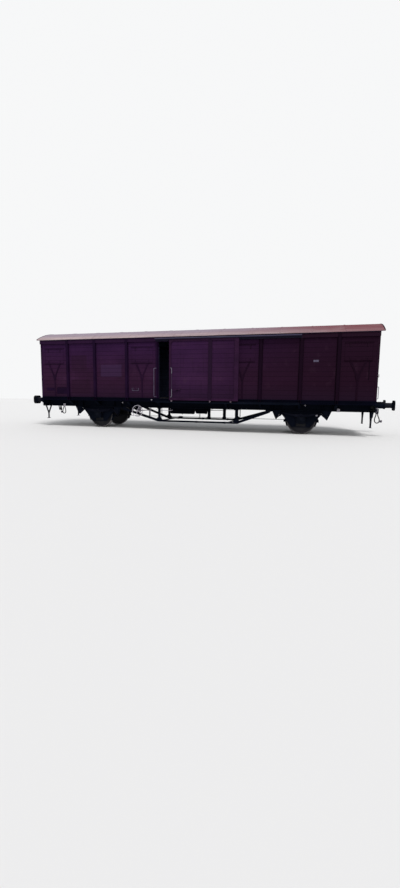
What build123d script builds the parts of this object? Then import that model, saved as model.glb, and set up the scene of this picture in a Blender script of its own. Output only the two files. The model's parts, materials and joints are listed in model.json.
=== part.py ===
from build123d import *
import os
from math import atan2, degrees, hypot, radians, sqrt, tan

# A two-axle covered goods wagon with planked sides, a barrel roof and trussed sole bars.
# Units are millimetres. X runs along the wagon, Y across it and Z up.
# X = 0 and Y = 0 are the middle of the wagon, and Z = 0 is the lowest point of the wheel flanges.
# Side a faces -Y and side b faces +Y. Seen from outside, each side's door slides to the right,
# so side b is side a turned half a turn about Z. The front end is at +X.

# Wheels and axles
tread_radius = 500
flange_height = 28
flange_thickness = 33
back_to_back = 1360
tyre_width = 135
rim_depth = 62
web_thickness = 26
web_inset = 60
hub_radius = 132
hub_inset = 15
hub_width = 165
axle_radius = 82
journal_radius = 65
journal_start = 870
journal_end = 1070
wheelbase = 8000

rail_z = flange_height
axle_z = rail_z + tread_radius

# Body shell, with heights over the rail
body_length = 12780
floor_height = 1200
floor_thickness = 50
sill_bottom_height = 1068
cantrail_bottom_height = 3292
eave_height = 3475
roof_rise = 380
wall_outer = 1340
wall_thickness = 34
post_depth = 60
eave_reach = 1425
roof_overhang = 115
roof_thickness = 30
cantrail_plate = 8

floor_top = rail_z + floor_height
floor_bottom = floor_top - floor_thickness
sill_bottom = rail_z + sill_bottom_height
cantrail_bottom = rail_z + cantrail_bottom_height
eave_z = rail_z + eave_height
ridge_z = eave_z + roof_rise
post_outer = wall_outer + post_depth
half_length = body_length / 2

# Side posts: how far each stands from the door post, as a share of the wall's free length
post_shares = (0.248, 0.520, 0.760)
doorway_width = 2500
door_post_width = 120
corner_post_width = 80
corner_post_plate = 8
post_width = 150
post_face = 92
post_plate = 8
post_bevel = 6
face_setback = 4
sill_plate = 10
plank_height = 161
plank_groove = 7
plank_groove_depth = 5

half_doorway = doorway_width / 2
door_post_centre = half_doorway + door_post_width / 2
corner_post_centre = half_length - corner_post_width / 2
free_wall = corner_post_centre - door_post_centre
post_places = tuple(door_post_centre + share * free_wall for share in post_shares)

# End posts and roof bows
end_post_place = 430
end_post_depth = 100
end_post_width = 80
end_post_plate = 10
bow_depth = 60
bow_width = 40

# Ventilators in the bays beside the doorway and at the ends
vent_width = 830
vent_height = 500
vent_bottom_height = 2575
vent_frame = 26
vent_proud = 8
vent_flap_proud = 2
vent_ledge_depth = 34
vent_ledge_height = 22
brace_width = 56
brace_thickness = 14
brace_spread = 540
brace_fork_drop = 560
brace_overrun = 30

vent_bottom = rail_z + vent_bottom_height
vent_inner_centre = (half_doorway + door_post_width + post_places[0] - post_width / 2) / 2
vent_outer_centre = (post_places[-1] + post_width / 2 + half_length - corner_post_width) / 2

# Door and its rails
door_width = 2590
door_gap = 15
door_depth = 62
door_open = 505
door_plank_thickness = 30
door_stile = 150
door_edge = 70
door_head = 90
door_rib_width = 130
door_rib_offset = 260
door_bottom_height = 1128
latch_height = 1530
latch_length = 400
latch_proud = 22
latch_lever_thickness = 12
latch_lever_height = 22
latch_foot_width = 40
latch_foot_height = 68
latch_rest_width = 30
latch_rest_height = 44
door_top_height = 3365
track_start = -1350
track_end = 3930
hood_bottom_height = 3345
hood_top_height = 3402
hood_plate = 8
hood_clearance = 20
lower_rail_plate = 10
lower_rail_leg = 46
lower_rail_top_drop = 40
roller_radius = 24
roller_width = 30
roller_clearance = 4
roller_places = (80, 1555, 2330)
running_gap = 0.3

# Pull bars beside the doorway and on the door: a rod on feet that lean away from it
pull_radius = 11
pull_bend = 30
pull_top_height = 2310
pull_low_height = 1250
pull_reach = 60
pull_lean = 70
door_pull_inset = 50
side_pull_inset = 20

door_inner = post_outer + door_gap
door_outer = door_inner + door_depth
door_bottom = rail_z + door_bottom_height
door_top = rail_z + door_top_height
hood_bottom = rail_z + hood_bottom_height
hood_top = rail_z + hood_top_height
lower_rail_top = door_bottom - roller_clearance - 2 * roller_radius
roller_y = door_inner + door_depth / 2

# Underframe, with heights over the rail
sole_bottom_height = 818
sole_web_y = 938
sole_flange = 110
channel_plate = 12
headstock_depth = 110
headstock_half_width = 1290
bearer_depth = 200
bearer_width = 90
bearer_places = (0, 1650)
stringer_y = 330
stringer_depth = 120
stringer_width = 60
bracket_thickness = 12
bracket_flange = 90
bracket_tip_drop = 40
bracket_root_rise = 60

sole_bottom = rail_z + sole_bottom_height
sole_top = floor_bottom
headstock_inner = half_length - headstock_depth

# Truss under each sole bar
truss_y = 1024
truss_left_foot = 1350
truss_right_foot = 1680
truss_end_clearance = 240
truss_bottom_height = 287
truss_bar_depth = 66
truss_slope_depth = 92
truss_bar_width = 44
truss_stay_radius = 24
truss_post_width = 90
truss_pad = 70

truss_bottom = rail_z + truss_bottom_height

# Springs, axle guards and axle boxes
spring_y = 1010
spring_eye_x = 640
spring_eye_height = 738
spring_rise = 46
spring_leaf = 15
spring_leaves = 6
leaf_taper_count = 1.5
spring_width = 100
buckle_length = 110
buckle_rise = 14
buckle_side = 5
eye_radius = 26
pin_head_radius = 25
pin_head_thickness = 10
link_bottom_x = 868
link_bottom_height = 545
link_thickness = 12
link_width = 44
hanger_inner_x = 705
hanger_outer_x = 1022
hanger_foot = 60
hanger_toe_share = 0.7
guard_thickness = 12
guard_top_half = 760
guard_top_rise = 90
guard_shoulder_drop = 30
guard_foot_half = 330
guard_foot_height = 262
guard_slot_half = 168
guard_slot_top = 690
box_half_width = 150
box_drop = 135
box_chamfer = 34
box_inner_y = 882
box_outer_y = 1105
box_end_gap = 6
box_cover_radius = 98
box_cover_thickness = 22
guard_tie_drop = 30
guard_tie_size = 34

spring_eye_z = rail_z + spring_eye_height

# Buffers and draw gear
buffer_y = 875
buffer_height = 1060
buffer_reach = 620
buffer_base = 300
buffer_base_thickness = 22
buffer_tube_radius = 108
buffer_tube_length = 330
buffer_plunger_radius = 88
buffer_head_width = 450
buffer_head_height = 340
buffer_head_corner = 110
buffer_head_thickness = 28
hook_height = 1060
hook_thickness = 48
hook_shank = 68
hook_tail = 100
hook_neck = 60
hook_root = 110
hook_pin_x = 48
hook_pin_radius = 15
shackle_x = 164
shackle_rise = 8
shackle_bar = 28
screw_top_x = 58
screw_top_drop = 235
screw_low_x = 84
screw_low_drop = 430
screw_radius = 22
nut_radius = 30
link_half_width = 62
link_bar = 14

# The hook's outline between its neck and its root, from under the throat round the nose and back,
# as (distance from the headstock's face, height over the middle of the shank)
hook_outline = ((110, -62), (190, -62), (250, -20), (262, 60), (215, 70), (200, 10), (165, -8), (130, 8))

buffer_z = rail_z + buffer_height
hook_z = rail_z + hook_height

# Brake gear
shoe_gap = 9
shoe_thickness = 52
shoe_width = 80
shoe_low_angle = -27
shoe_high_angle = 15
shoe_hanger = 16
shoe_hanger_plate = 28
beam_height = 440
beam_width = 40
beam_depth = 70
vessel_height = 730
vessel_plate = 50
vessel_plate_inset = 60
cylinder_start = -225
cylinder_radius = 165
cylinder_length = 430
tank_start = -1350
tank_radius = 190
tank_length = 1010
rod_width = 40
rod_depth = 16
piston_radius = 24
piston_reach = 125
lever_spacing = 630
lever_width = 120
lever_thickness = 20
handwheel_x = 2180
handwheel_height = 690
handwheel_y = 1235
handwheel_radius = 215
handwheel_rim = 13
handwheel_spokes = 4
spoke_start_angle = 20
spoke_width = 20
spoke_thickness = 12
handwheel_hub = 34
spindle_radius = 16
spindle_bracket_y = 995
spindle_bracket_width = 80
spindle_bracket_plate = 24
hand_lever_width = 50
hand_rod_length = 430
hand_rod_rise = 24
pipe_radius = 17
pipe_y = 420
pipe_height = 900

# Hoses at the ends: an end cock on the headstock and a hose that hangs from it in a closed loop
hose_radius = 17
hose_reach = 175
cock_radius = 26
hose_top_height = 765
hose_bend_share = 0.45
hose_points = ((-24, 0), (-24, -55), (-68, -185), (-62, -300), (20, -352), (92, -290), (86, -180),
               (24, -60), (24, 0))

# Steps under the corners, each a Y of strap with a small tread
step_x = 110
step_strap = 60
step_plate = 12
step_outer_y = 1280
step_inner_y = 890
step_stem_y = 1105
step_strap_rise = 60
step_join_height = 515
step_height = 305
step_tread = 190

hanger_x = tread_radius + shoe_gap + shoe_thickness + shoe_hanger
vessel_z = rail_z + vessel_height

os.makedirs("parts", exist_ok=True)


# Shape helpers

def prism_x(points, x0, x1):
    """A polygon of (y, z) points drawn out from x0 to x1."""
    return extrude(Plane.YZ.offset(x0) * make_face(Polyline(*points, close=True)), amount=x1 - x0)


def prism_y(points, y0, y1):
    """A polygon of (x, z) points drawn out from y0 to y1."""
    return extrude(Plane.XZ.offset(-y0) * make_face(Polyline(*points, close=True)), amount=y0 - y1)


def prism_z(points, z0, z1):
    """A polygon of (x, y) points drawn out from z0 to z1."""
    return extrude(Plane.XY.offset(z0) * make_face(Polyline(*points, close=True)), amount=z1 - z0)


def block(x0, x1, y0, y1, z0, z1):
    return Pos((x0 + x1) / 2, (y0 + y1) / 2, (z0 + z1) / 2) * Box(abs(x1 - x0), abs(y1 - y0), abs(z1 - z0))


def round_bar(start, end, radius):
    """A cylinder from one point to another."""
    way = Vector(*end) - Vector(*start)
    return extrude(Plane(Vector(*start), z_dir=way) * Circle(radius), amount=way.length)


def opposite(shape):
    """The same piece on the other side, turned half a turn about Z."""
    return shape.rotate(Axis.Z, 180)


def mirrored_x(shape):
    return shape.mirror(Plane.YZ)


def mirrored_y(shape):
    return shape.mirror(Plane.XZ)


def four_corners(shape):
    """A piece at +X and -Y, and its mirror images at the other three corners."""
    return [shape, mirrored_x(shape), mirrored_y(shape), mirrored_y(mirrored_x(shape))]


def write(name, solids):
    shape = solids[0] if len(solids) == 1 else Compound(children=list(solids))
    export_step(shape, f"parts/{name}.step")


# Underframe

def channel_x(y_web, y_lips, z0, z1, x0, x1, plate):
    """A channel along X with its web at y_web and its flanges reaching to y_lips."""
    out = 1 if y_lips > y_web else -1
    inner = y_web + out * plate
    points = [(y_web, z0), (y_lips, z0), (y_lips, z0 + plate), (inner, z0 + plate),
              (inner, z1 - plate), (y_lips, z1 - plate), (y_lips, z1), (y_web, z1)]
    return prism_x(points, x0, x1)


def sole_bars():
    bar = channel_x(-sole_web_y, -sole_web_y - sole_flange, sole_bottom, sole_top,
                    -headstock_inner, headstock_inner, channel_plate)
    return [bar, mirrored_y(bar)]


def headstock():
    """The buffer beam, a channel across the end with its web outside and a slot for the draw hook."""
    x0 = headstock_inner
    x1 = half_length
    inner = x1 - channel_plate
    points = [(x0, sole_bottom), (x1, sole_bottom), (x1, sole_top), (x0, sole_top),
              (x0, sole_top - channel_plate), (inner, sole_top - channel_plate),
              (inner, sole_bottom + channel_plate), (x0, sole_bottom + channel_plate)]
    beam = prism_y(points, -headstock_half_width, headstock_half_width)
    half_y = hook_thickness / 2 + running_gap
    half_z = hook_shank / 2 + running_gap
    return beam - block(inner - 1, x1 + 1, -half_y, half_y, hook_z - half_z, hook_z + half_z)


def bearer_centres():
    """Places of the cross bearers: the plain ones, and a pair over each axle's brake hangers."""
    axle = wheelbase / 2
    places = [*bearer_places, axle - hanger_x - bearer_width / 2 + shoe_hanger_plate,
              axle + hanger_x + bearer_width / 2 - shoe_hanger_plate]
    return sorted({side * x for x in places for side in (-1, 1)})


def cross_bearers():
    """Channels between the sole bars, under the floor."""
    span = sole_web_y
    top = floor_bottom
    bottom = top - bearer_depth
    bearers = []
    for place in bearer_centres():
        x0 = place - bearer_width / 2
        x1 = place + bearer_width / 2
        web = x0 + channel_plate
        points = [(x0, bottom), (x1, bottom), (x1, bottom + channel_plate), (web, bottom + channel_plate),
                  (web, top - channel_plate), (x1, top - channel_plate), (x1, top), (x0, top)]
        bearers.append(prism_y(points, -span, span))
    return bearers


def floor_stringers():
    """Two lines of short beams between the cross bearers and the headstocks."""
    stops = bearer_centres()
    spans = [(stops[i] + bearer_width / 2, stops[i + 1] - bearer_width / 2) for i in range(len(stops) - 1)]
    web = headstock_inner + headstock_depth - channel_plate
    spans = [(-web, stops[0] - bearer_width / 2)] + spans + [(stops[-1] + bearer_width / 2, web)]
    top = floor_bottom - channel_plate
    beams = []
    for x0, x1 in spans:
        for side in (-1, 1):
            y0 = side * stringer_y
            beams.append(block(x0, x1, y0 - stringer_width / 2, y0 + stringer_width / 2,
                               top - stringer_depth, top))
    return beams


def floor_brackets():
    """Gusset plates from the sole bars out to the feet of the side posts."""
    web = -sole_web_y - channel_plate
    lip = -sole_web_y - sole_flange
    outer = -wall_outer + wall_thickness
    root_z = sole_bottom + channel_plate + bracket_root_rise
    tip_z = sill_bottom - bracket_tip_drop
    top = sole_top - channel_plate
    points = [(web, root_z), (web, top), (lip, top), (lip, floor_bottom), (outer, floor_bottom),
              (outer, tip_z), (lip, root_z)]
    strip = [(lip, root_z), (outer, tip_z), (outer, tip_z + bracket_thickness),
             (lip, root_z + bracket_thickness)]
    plates = []
    for place in (door_post_centre, *post_places):
        for side in (-1, 1):
            x = side * place
            plate = prism_x(points, x - bracket_thickness / 2, x + bracket_thickness / 2)
            plate = plate + prism_x(strip, x - bracket_flange / 2, x + bracket_flange / 2)
            plates += [plate, mirrored_y(plate)]
    return plates


def truss():
    """Side a's truss: a low chord, two deeper sloping ends and two posts, the one at +X further out."""
    low = truss_bottom + truss_bar_depth / 2
    high = sole_bottom - truss_slope_depth / 2
    end = wheelbase / 2 - link_bottom_x - truss_end_clearance
    with BuildSketch() as chord:
        with BuildLine():
            Line((-truss_left_foot, low), (truss_right_foot, low))
        trace(line_width=truss_bar_depth)
    with BuildSketch() as slopes:
        with BuildLine():
            Line((-truss_left_foot, low), (-end, high))
        with BuildLine():
            Line((truss_right_foot, low), (end, high))
        trace(line_width=truss_slope_depth)
    y0 = -truss_y - truss_bar_width / 2
    y1 = y0 + truss_bar_width
    bars = extrude(Plane.XZ.offset(-y1) * (chord.sketch + slopes.sketch), amount=truss_bar_width)
    post = truss_post_width / 2
    for x in (-truss_left_foot, truss_right_foot):
        bars = bars + block(x - post, x + post, y0, y1, truss_bottom, sole_bottom)
    for x in (-end, end):
        bars = bars + block(x - truss_pad, x + truss_pad, y0, y1, high, sole_bottom)
    bars = bars - block(-half_length, half_length, y0 - 1, y1 + 1, sole_bottom, sole_top)
    return bars - block(-half_length, half_length, y0 - 1, y1 + 1, truss_bottom - truss_slope_depth,
                        truss_bottom)


def truss_stays():
    """Tubes across the wagon between the two low chords, at the nearer feet of each."""
    inner = truss_y - truss_bar_width / 2
    z = truss_bottom + truss_bar_depth / 2
    places = (-truss_left_foot, truss_left_foot)
    return [round_bar((x, -inner, z), (x, inner, z), truss_stay_radius) for x in places]


# Body shell

def plank_profile(y_face, y_back, z0, z1):
    """A wall's section with a V groove at each plank joint of its face, counted from the floor."""
    into = 1 if y_back > y_face else -1
    half = plank_groove / 2
    points = [(y_face, z0)]
    z = floor_top + plank_height
    while z < z1 - plank_height / 3:
        if z > z0 + plank_height / 3:
            points += [(y_face, z - half), (y_face + into * plank_groove_depth, z), (y_face, z + half)]
        z += plank_height
    return points + [(y_face, z1), (y_back, z1), (y_back, z0)]


def vent_hole(centre, y0, y1):
    x0 = centre - vent_width / 2
    return block(x0, x0 + vent_width, y0, y1, vent_bottom, vent_bottom + vent_height)


def side_wall():
    """The planked wall between the doorway and the corner post, on side a at +X."""
    y_face = -wall_outer
    y_back = y_face + wall_thickness
    wall = prism_x(plank_profile(y_face, y_back, floor_top, cantrail_bottom), half_doorway,
                   half_length - corner_post_plate)
    for centre in (vent_inner_centre, vent_outer_centre):
        wall = wall - vent_hole(centre, y_face - 1, y_back + 1)
    return wall


def hat_post(x, width, z0, z1):
    """A pressed post of hat section standing on side a's planks."""
    y0 = -wall_outer
    y1 = -post_outer
    half = width / 2
    face = half - (post_width - post_face) / 2
    inner = face - post_plate
    outline = [(-half, y0), (-half, y0 - post_plate), (-face - post_bevel, y0 - post_plate), (-face, y1),
               (face, y1), (face + post_bevel, y0 - post_plate), (half, y0 - post_plate), (half, y0),
               (inner + post_bevel, y0), (inner, y1 + post_plate), (-inner, y1 + post_plate),
               (-inner - post_bevel, y0)]
    points = [(x + across, y) for across, y in outline]
    return prism_z(points, z0, z1)


def side_posts():
    """The posts of side a, from the foot of the side sill to the eave."""
    posts = []
    for side in (-1, 1):
        for place in post_places:
            posts.append(hat_post(side * place, post_width, floor_top, cantrail_bottom))
        posts.append(hat_post(side * door_post_centre, door_post_width, floor_top, cantrail_bottom))
    return posts


def corner_post():
    """The angle at side a's +X corner."""
    x1 = half_length
    y1 = -wall_outer - corner_post_plate
    x_inner = x1 - corner_post_plate
    y_inner = y1 + corner_post_plate
    points = [(x1, y1), (x1, y1 + corner_post_width), (x_inner, y1 + corner_post_width),
              (x_inner, y_inner), (x1 - corner_post_width, y_inner), (x1 - corner_post_width, y1)]
    return prism_z(points, floor_top, cantrail_bottom)


def side_sill():
    """The channel that edges the floor of side a and carries the posts."""
    return channel_x(-wall_outer + wall_thickness, -post_outer + face_setback, sill_bottom, floor_top,
                     -half_length, half_length, sill_plate)


def roof_underside(y):
    """Height of the roof's inner surface at a distance from the middle."""
    radius = (eave_reach ** 2 + roof_rise ** 2) / (2 * roof_rise)
    return ridge_z - roof_thickness - radius + sqrt(radius ** 2 - y ** 2)


def cantrail():
    """The angle along the head of side a's posts, cut at the top to the roof's curve."""
    face = post_outer - face_setback
    back = wall_outer - wall_thickness
    web = face - cantrail_plate
    ledge = cantrail_bottom + cantrail_plate
    points = [(-face, cantrail_bottom), (-back, cantrail_bottom), (-back, ledge), (-web, ledge),
              (-web, roof_underside(web)), (-face, roof_underside(face))]
    return prism_x(points, -half_length, half_length)


def roof_shell():
    """The barrel roof, one curved skin with a turned-down edge."""
    outer = ThreePointArc((-eave_reach, eave_z), (0, ridge_z), (eave_reach, eave_z))
    inner = ThreePointArc((eave_reach, eave_z - roof_thickness), (0, ridge_z - roof_thickness),
                          (-eave_reach, eave_z - roof_thickness))
    right = Line(outer @ 1, inner @ 0)
    left = Line(inner @ 1, outer @ 0)
    face = make_face([outer, right, inner, left])
    length = body_length + 2 * roof_overhang
    return extrude(Plane.YZ.offset(-length / 2) * face, amount=length)


def end_wall():
    """The planked end at +X, between the corner posts."""
    x_face = half_length - corner_post_plate
    x_back = x_face - wall_thickness
    half = wall_outer - wall_thickness
    return prism_y(plank_profile(x_face, x_back, floor_top, cantrail_bottom), -half, half)


def gable():
    """The sheet that closes the end above the eave, cut to the roof's curve."""
    low = cantrail_bottom
    half = wall_outer - wall_thickness
    side_z = roof_underside(half)
    arc = ThreePointArc((-half, side_z), (0, ridge_z - roof_thickness), (half, side_z))
    lines = Polyline((half, side_z), (half, low), (-half, low), (-half, side_z))
    face = make_face([arc, *lines.edges()])
    x0 = half_length - corner_post_plate - wall_thickness
    return extrude(Plane.YZ.offset(x0) * face, amount=wall_thickness)


def end_posts():
    """Two I-section posts on the +X end."""
    x0 = half_length - corner_post_plate
    x1 = x0 + end_post_depth
    half = end_post_width / 2
    web = end_post_plate / 2
    back = x0 + end_post_plate
    front = x1 - end_post_plate
    section = [(x0, -half), (back, -half), (back, -web), (front, -web), (front, -half), (x1, -half),
               (x1, half), (front, half), (front, web), (back, web), (back, half), (x0, half)]
    post = prism_z(section, floor_top, eave_z)
    return [Pos(0, y, 0) * post for y in (-end_post_place, end_post_place)]


def roof_bow(x):
    """A curved bar under the roof, between the tops of two posts."""
    half = wall_outer - wall_thickness
    top = ThreePointArc((-half, roof_underside(half)), (0, roof_underside(0)), (half, roof_underside(half)))
    low = ThreePointArc((half, roof_underside(half) - bow_depth), (0, roof_underside(0) - bow_depth),
                        (-half, roof_underside(half) - bow_depth))
    face = make_face([top, Line(top @ 1, low @ 0), low, Line(low @ 1, top @ 0)])
    return extrude(Plane.YZ.offset(x - bow_width / 2) * face, amount=bow_width)


def floor_deck():
    half = wall_outer - wall_thickness
    end = half_length - corner_post_plate - wall_thickness
    return block(-end, end, -half, half, floor_bottom, floor_top)


def vent(centre):
    """A ventilator of side a: a thin frame, a shut flap of boards in the hole and a drip ledge."""
    y_face = -wall_outer
    x0 = centre - vent_width / 2
    x1 = centre + vent_width / 2
    z0 = vent_bottom
    z1 = vent_bottom + vent_height
    low = z0 - vent_frame
    frame = block(x0 - vent_frame, x1 + vent_frame, y_face - vent_proud, y_face, low, z1 + vent_frame)
    frame = frame - block(x0, x1, y_face - vent_proud - 1, y_face + 1, z0, z1)
    flap = prism_x(plank_profile(y_face - vent_flap_proud, y_face + wall_thickness, z0, z1), x0, x1)
    ledge = block(x0 - vent_frame, x1 + vent_frame, y_face - vent_ledge_depth, y_face,
                  low - vent_ledge_height, low)
    return frame + flap + ledge


def wall_brace(centre):
    """The Y of flat bar from a ventilator's lower edge down to the sill."""
    top = vent_bottom - vent_frame - vent_ledge_height
    fork = top - brace_fork_drop
    with BuildSketch() as outline:
        with BuildLine():
            Line((centre, floor_top - brace_overrun), (centre, fork))
            Line((centre, fork), (centre - brace_spread / 2, top + brace_overrun))
            Line((centre, fork), (centre + brace_spread / 2, top + brace_overrun))
        trace(line_width=brace_width)
    bars = extrude(Plane.XZ.offset(wall_outer) * outline.sketch, amount=brace_thickness)
    keep = block(centre - brace_spread, centre + brace_spread, -wall_outer - brace_thickness, -wall_outer,
                 floor_top, top)
    return bars & keep


# Doors and their rails, on side a at their place in the photograph

def door_track():
    """The hooded upper track: a leg on the cantrail, a plate out over the door and an outer fascia."""
    y_wall = -post_outer + face_setback
    y_leg = y_wall - hood_plate
    y_lip = -door_outer - hood_clearance
    ceiling = hood_top - hood_plate
    points = [(y_wall, hood_top), (y_wall, cantrail_bottom), (y_leg, cantrail_bottom), (y_leg, ceiling),
              (y_lip, ceiling), (y_lip, hood_bottom), (y_lip - hood_plate, hood_bottom),
              (y_lip - hood_plate, hood_top)]
    return prism_x(points, track_start, track_end)


def door_lower_rail():
    """The rail under the door, a leg on the sill and an upstanding edge that the rollers run on."""
    y_wall = -post_outer + face_setback
    y_leg = y_wall - hood_plate
    low = lower_rail_top - lower_rail_leg
    shelf = low + lower_rail_plate
    high = floor_bottom - lower_rail_top_drop
    y_rail = -roller_y
    half = lower_rail_plate / 2
    points = [(y_wall, low), (y_wall, high), (y_leg, high), (y_leg, shelf), (y_rail + half, shelf),
              (y_rail + half, lower_rail_top), (y_rail - half, lower_rail_top), (y_rail - half, low)]
    return prism_x(points, track_start, track_end)


def door_x():
    return -door_width / 2 + door_open


def door_frame():
    """The door's steel frame: two stiles, a head, a foot and one upright rib."""
    x0 = door_x()
    x1 = x0 + door_width
    y0 = -door_outer
    y1 = -door_inner
    frame = block(x0, x1, y0, y1, door_bottom, door_top)
    rib = x0 + door_width / 2 + door_rib_offset
    bays = [(x0 + door_edge, rib - door_rib_width / 2), (rib + door_rib_width / 2, x1 - door_stile)]
    for a, b in bays:
        frame = frame - block(a, b, y0 - 1, y1 + 1, door_bottom + door_head, door_top - door_head)
    return frame


def door_planks():
    """The planks that fill the door's two bays."""
    x0 = door_x()
    x1 = x0 + door_width
    y_face = -door_inner - door_plank_thickness
    rib = x0 + door_width / 2 + door_rib_offset
    profile = plank_profile(y_face, -door_inner - 4, door_bottom + door_head, door_top - door_head)
    bays = [(x0 + door_edge, rib - door_rib_width / 2), (rib + door_rib_width / 2, x1 - door_stile)]
    return [prism_x(profile, a, b) for a, b in bays]


def door_rollers():
    """The rollers under the door, each in its fork."""
    z = lower_rail_top + running_gap + roller_radius
    rollers = []
    for place in roller_places:
        x = door_x() + place
        wheel = round_bar((x, -roller_y - roller_width / 2, z), (x, -roller_y + roller_width / 2, z),
                          roller_radius)
        fork = block(x - roller_radius, x + roller_radius, -roller_y - roller_width / 2,
                     -roller_y + roller_width / 2, z, door_bottom)
        rollers.append(wheel + fork)
    return rollers


def door_latch():
    """The catch on the leading stile: a lever lying along the planks."""
    x0 = door_x() + door_pull_inset / 2
    z = rail_z + latch_height
    x1 = x0 + latch_length
    y0 = -door_outer - latch_proud
    lever_half = latch_lever_height / 2
    foot_half = latch_foot_height / 2
    rest_half = latch_rest_height / 2
    lever = block(x0, x1, y0, y0 + latch_lever_thickness, z - lever_half, z + lever_half)
    foot = block(x0, x0 + latch_foot_width, y0, -door_outer, z - foot_half, z + foot_half)
    rest = block(x1 - latch_rest_width, x1, y0, -door_inner - door_plank_thickness,
                 z - rest_half, z + rest_half)
    return lever + foot + rest


def pull_bar(x_foot, x_rod, y_face):
    """A tall rod of six-sided section whose feet lean from x_foot to x_rod."""
    high = rail_z + pull_top_height
    low = rail_z + pull_low_height
    y_rod = y_face - pull_reach
    path = FilletPolyline((x_foot, y_face, high), (x_rod, y_rod, high), (x_rod, y_rod, low),
                          (x_foot, y_face, low), radius=pull_bend)
    section = Plane(path @ 0, z_dir=path % 0) * RegularPolygon(pull_radius, 6)
    bar = sweep(section, path=path)
    trim = block(x_rod - 200, x_rod + 200, y_face, y_face + 100, low - 50, high + 50)
    return bar - trim


def door_handle():
    x = door_x() + door_pull_inset
    return pull_bar(x, x + pull_lean, -door_outer)


def side_handle():
    """The grab bar beside the doorway, on the door post."""
    x = -door_post_centre - side_pull_inset
    return pull_bar(x, x - pull_lean, -post_outer)


# Running gear

def wheel_half_profile():
    """Half of a wheelset's section, as (distance along the axle, radius) from its middle outwards."""
    inner = back_to_back / 2
    outer = inner + tyre_width
    rim = tread_radius - rim_depth
    tip = tread_radius + flange_height
    hub_in = inner + hub_inset
    hub_out = hub_in + hub_width
    web_in = inner + web_inset
    web_out = web_in + web_thickness
    return [(hub_in, axle_radius), (hub_in, hub_radius), (web_in, hub_radius), (web_in, rim),
            (inner, rim), (inner, tip), (inner + flange_thickness, tread_radius), (outer, tread_radius),
            (outer, rim), (web_out, rim), (web_out, hub_radius), (hub_out, hub_radius),
            (hub_out, axle_radius), (journal_start, axle_radius), (journal_start, journal_radius),
            (journal_end, journal_radius)]


def wheelset(x):
    """Two wheels on their axle, in one turned solid."""
    half = wheel_half_profile()
    left = [(-y, r) for y, r in reversed(half)]
    outline = [(-journal_end, 0), *left, *half, (journal_end, 0)]
    turned = revolve(make_face(Polyline(*outline, close=True)), Axis.X)
    return Pos(x, 0, axle_z) * turned.rotate(Axis.Z, 90)


def axle_guard():
    """A plate with a flared leg on each side of an axle box and a tie across its feet, around x = 0."""
    top = sole_bottom + guard_top_rise
    shoulder = sole_bottom - guard_shoulder_drop
    foot = rail_z + guard_foot_height
    slot = rail_z + guard_slot_top
    y1 = -sole_web_y + guard_thickness
    left = [(-guard_top_half, top), (-guard_top_half, shoulder), (-guard_foot_half, foot),
            (-guard_slot_half, foot), (-guard_slot_half, slot)]
    points = left + [(-x, z) for x, z in reversed(left)]
    tie = block(-guard_foot_half, guard_foot_half, y1 - guard_tie_size, y1, foot - guard_tie_drop, foot)
    return prism_y(points, y1 - guard_thickness, y1) + tie


def axle_box():
    """A cast axle box with a round cover and a bore for the journal."""
    top = spring_foot()
    low = axle_z - box_drop
    half = box_half_width
    cut = box_chamfer
    points = [(-half, low + cut), (-half + cut, low), (half - cut, low), (half, low + cut),
              (half, top - cut), (half - cut, top), (-half + cut, top), (-half, top - cut)]
    body = prism_y(points, -box_outer_y, -box_inner_y)
    cover = round_bar((0, -box_outer_y, axle_z), (0, -box_outer_y - box_cover_thickness, axle_z),
                      box_cover_radius)
    bore = round_bar((0, -box_inner_y + 1, axle_z), (0, -journal_end - box_end_gap, axle_z),
                     journal_radius + running_gap)
    return body + cover - bore


def spring_foot():
    """Height of the lowest leaf's underside at the buckle."""
    return spring_eye_z - spring_rise - spring_leaves * spring_leaf


def leaf_spring():
    """A laminated spring with rolled eyes, around x = 0 on side a."""
    y0 = -spring_y + spring_width / 2
    radius = (spring_eye_x ** 2 + spring_rise ** 2) / (2 * spring_rise)
    centre = spring_eye_z - spring_rise + radius

    def arc(reach, r):
        z = centre - sqrt(r ** 2 - reach ** 2)
        return ThreePointArc((-reach, z), (0, centre - r), (reach, z))

    pack = None
    for i in range(spring_leaves):
        reach = spring_eye_x * (1 - i / (spring_leaves + leaf_taper_count))
        upper = arc(reach, radius + i * spring_leaf)
        lower = arc(reach, radius + (i + 1) * spring_leaf)
        face = make_face([upper, Line(upper @ 1, lower @ 1), lower, Line(lower @ 0, upper @ 0)])
        leaf = extrude(Plane.XZ.offset(-y0) * face, amount=spring_width)
        pack = leaf if pack is None else pack + leaf
    for side in (-1, 1):
        ends = [(side * spring_eye_x, y, spring_eye_z) for y in (y0, y0 - spring_width)]
        pack = pack + round_bar(*ends, eye_radius)
    buckle = block(-buckle_length / 2, buckle_length / 2, y0 + buckle_side,
                   y0 - spring_width - buckle_side, spring_foot(), spring_eye_z - spring_rise + buckle_rise)
    return pack + buckle


def link_plate(start, end, width, y0, y1):
    """A flat bar with tapered ends that joins two pins, given as (x, z)."""
    length = hypot(end[0] - start[0], end[1] - start[1])
    angle = degrees(atan2(end[1] - start[1], end[0] - start[0]))
    half = width / 2
    tip = length / 2 + half
    outline = Polyline((-tip, half / 2), (-length / 2, half), (length / 2, half), (tip, half / 2),
                       (tip, -half / 2), (length / 2, -half), (-length / 2, -half), (-tip, -half / 2),
                       close=True)
    face = Pos((start[0] + end[0]) / 2, (start[1] + end[1]) / 2) * Rot(0, 0, angle) * make_face(outline)
    return extrude(Plane.XZ.offset(-max(y0, y1)) * face, amount=abs(y1 - y0))


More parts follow.
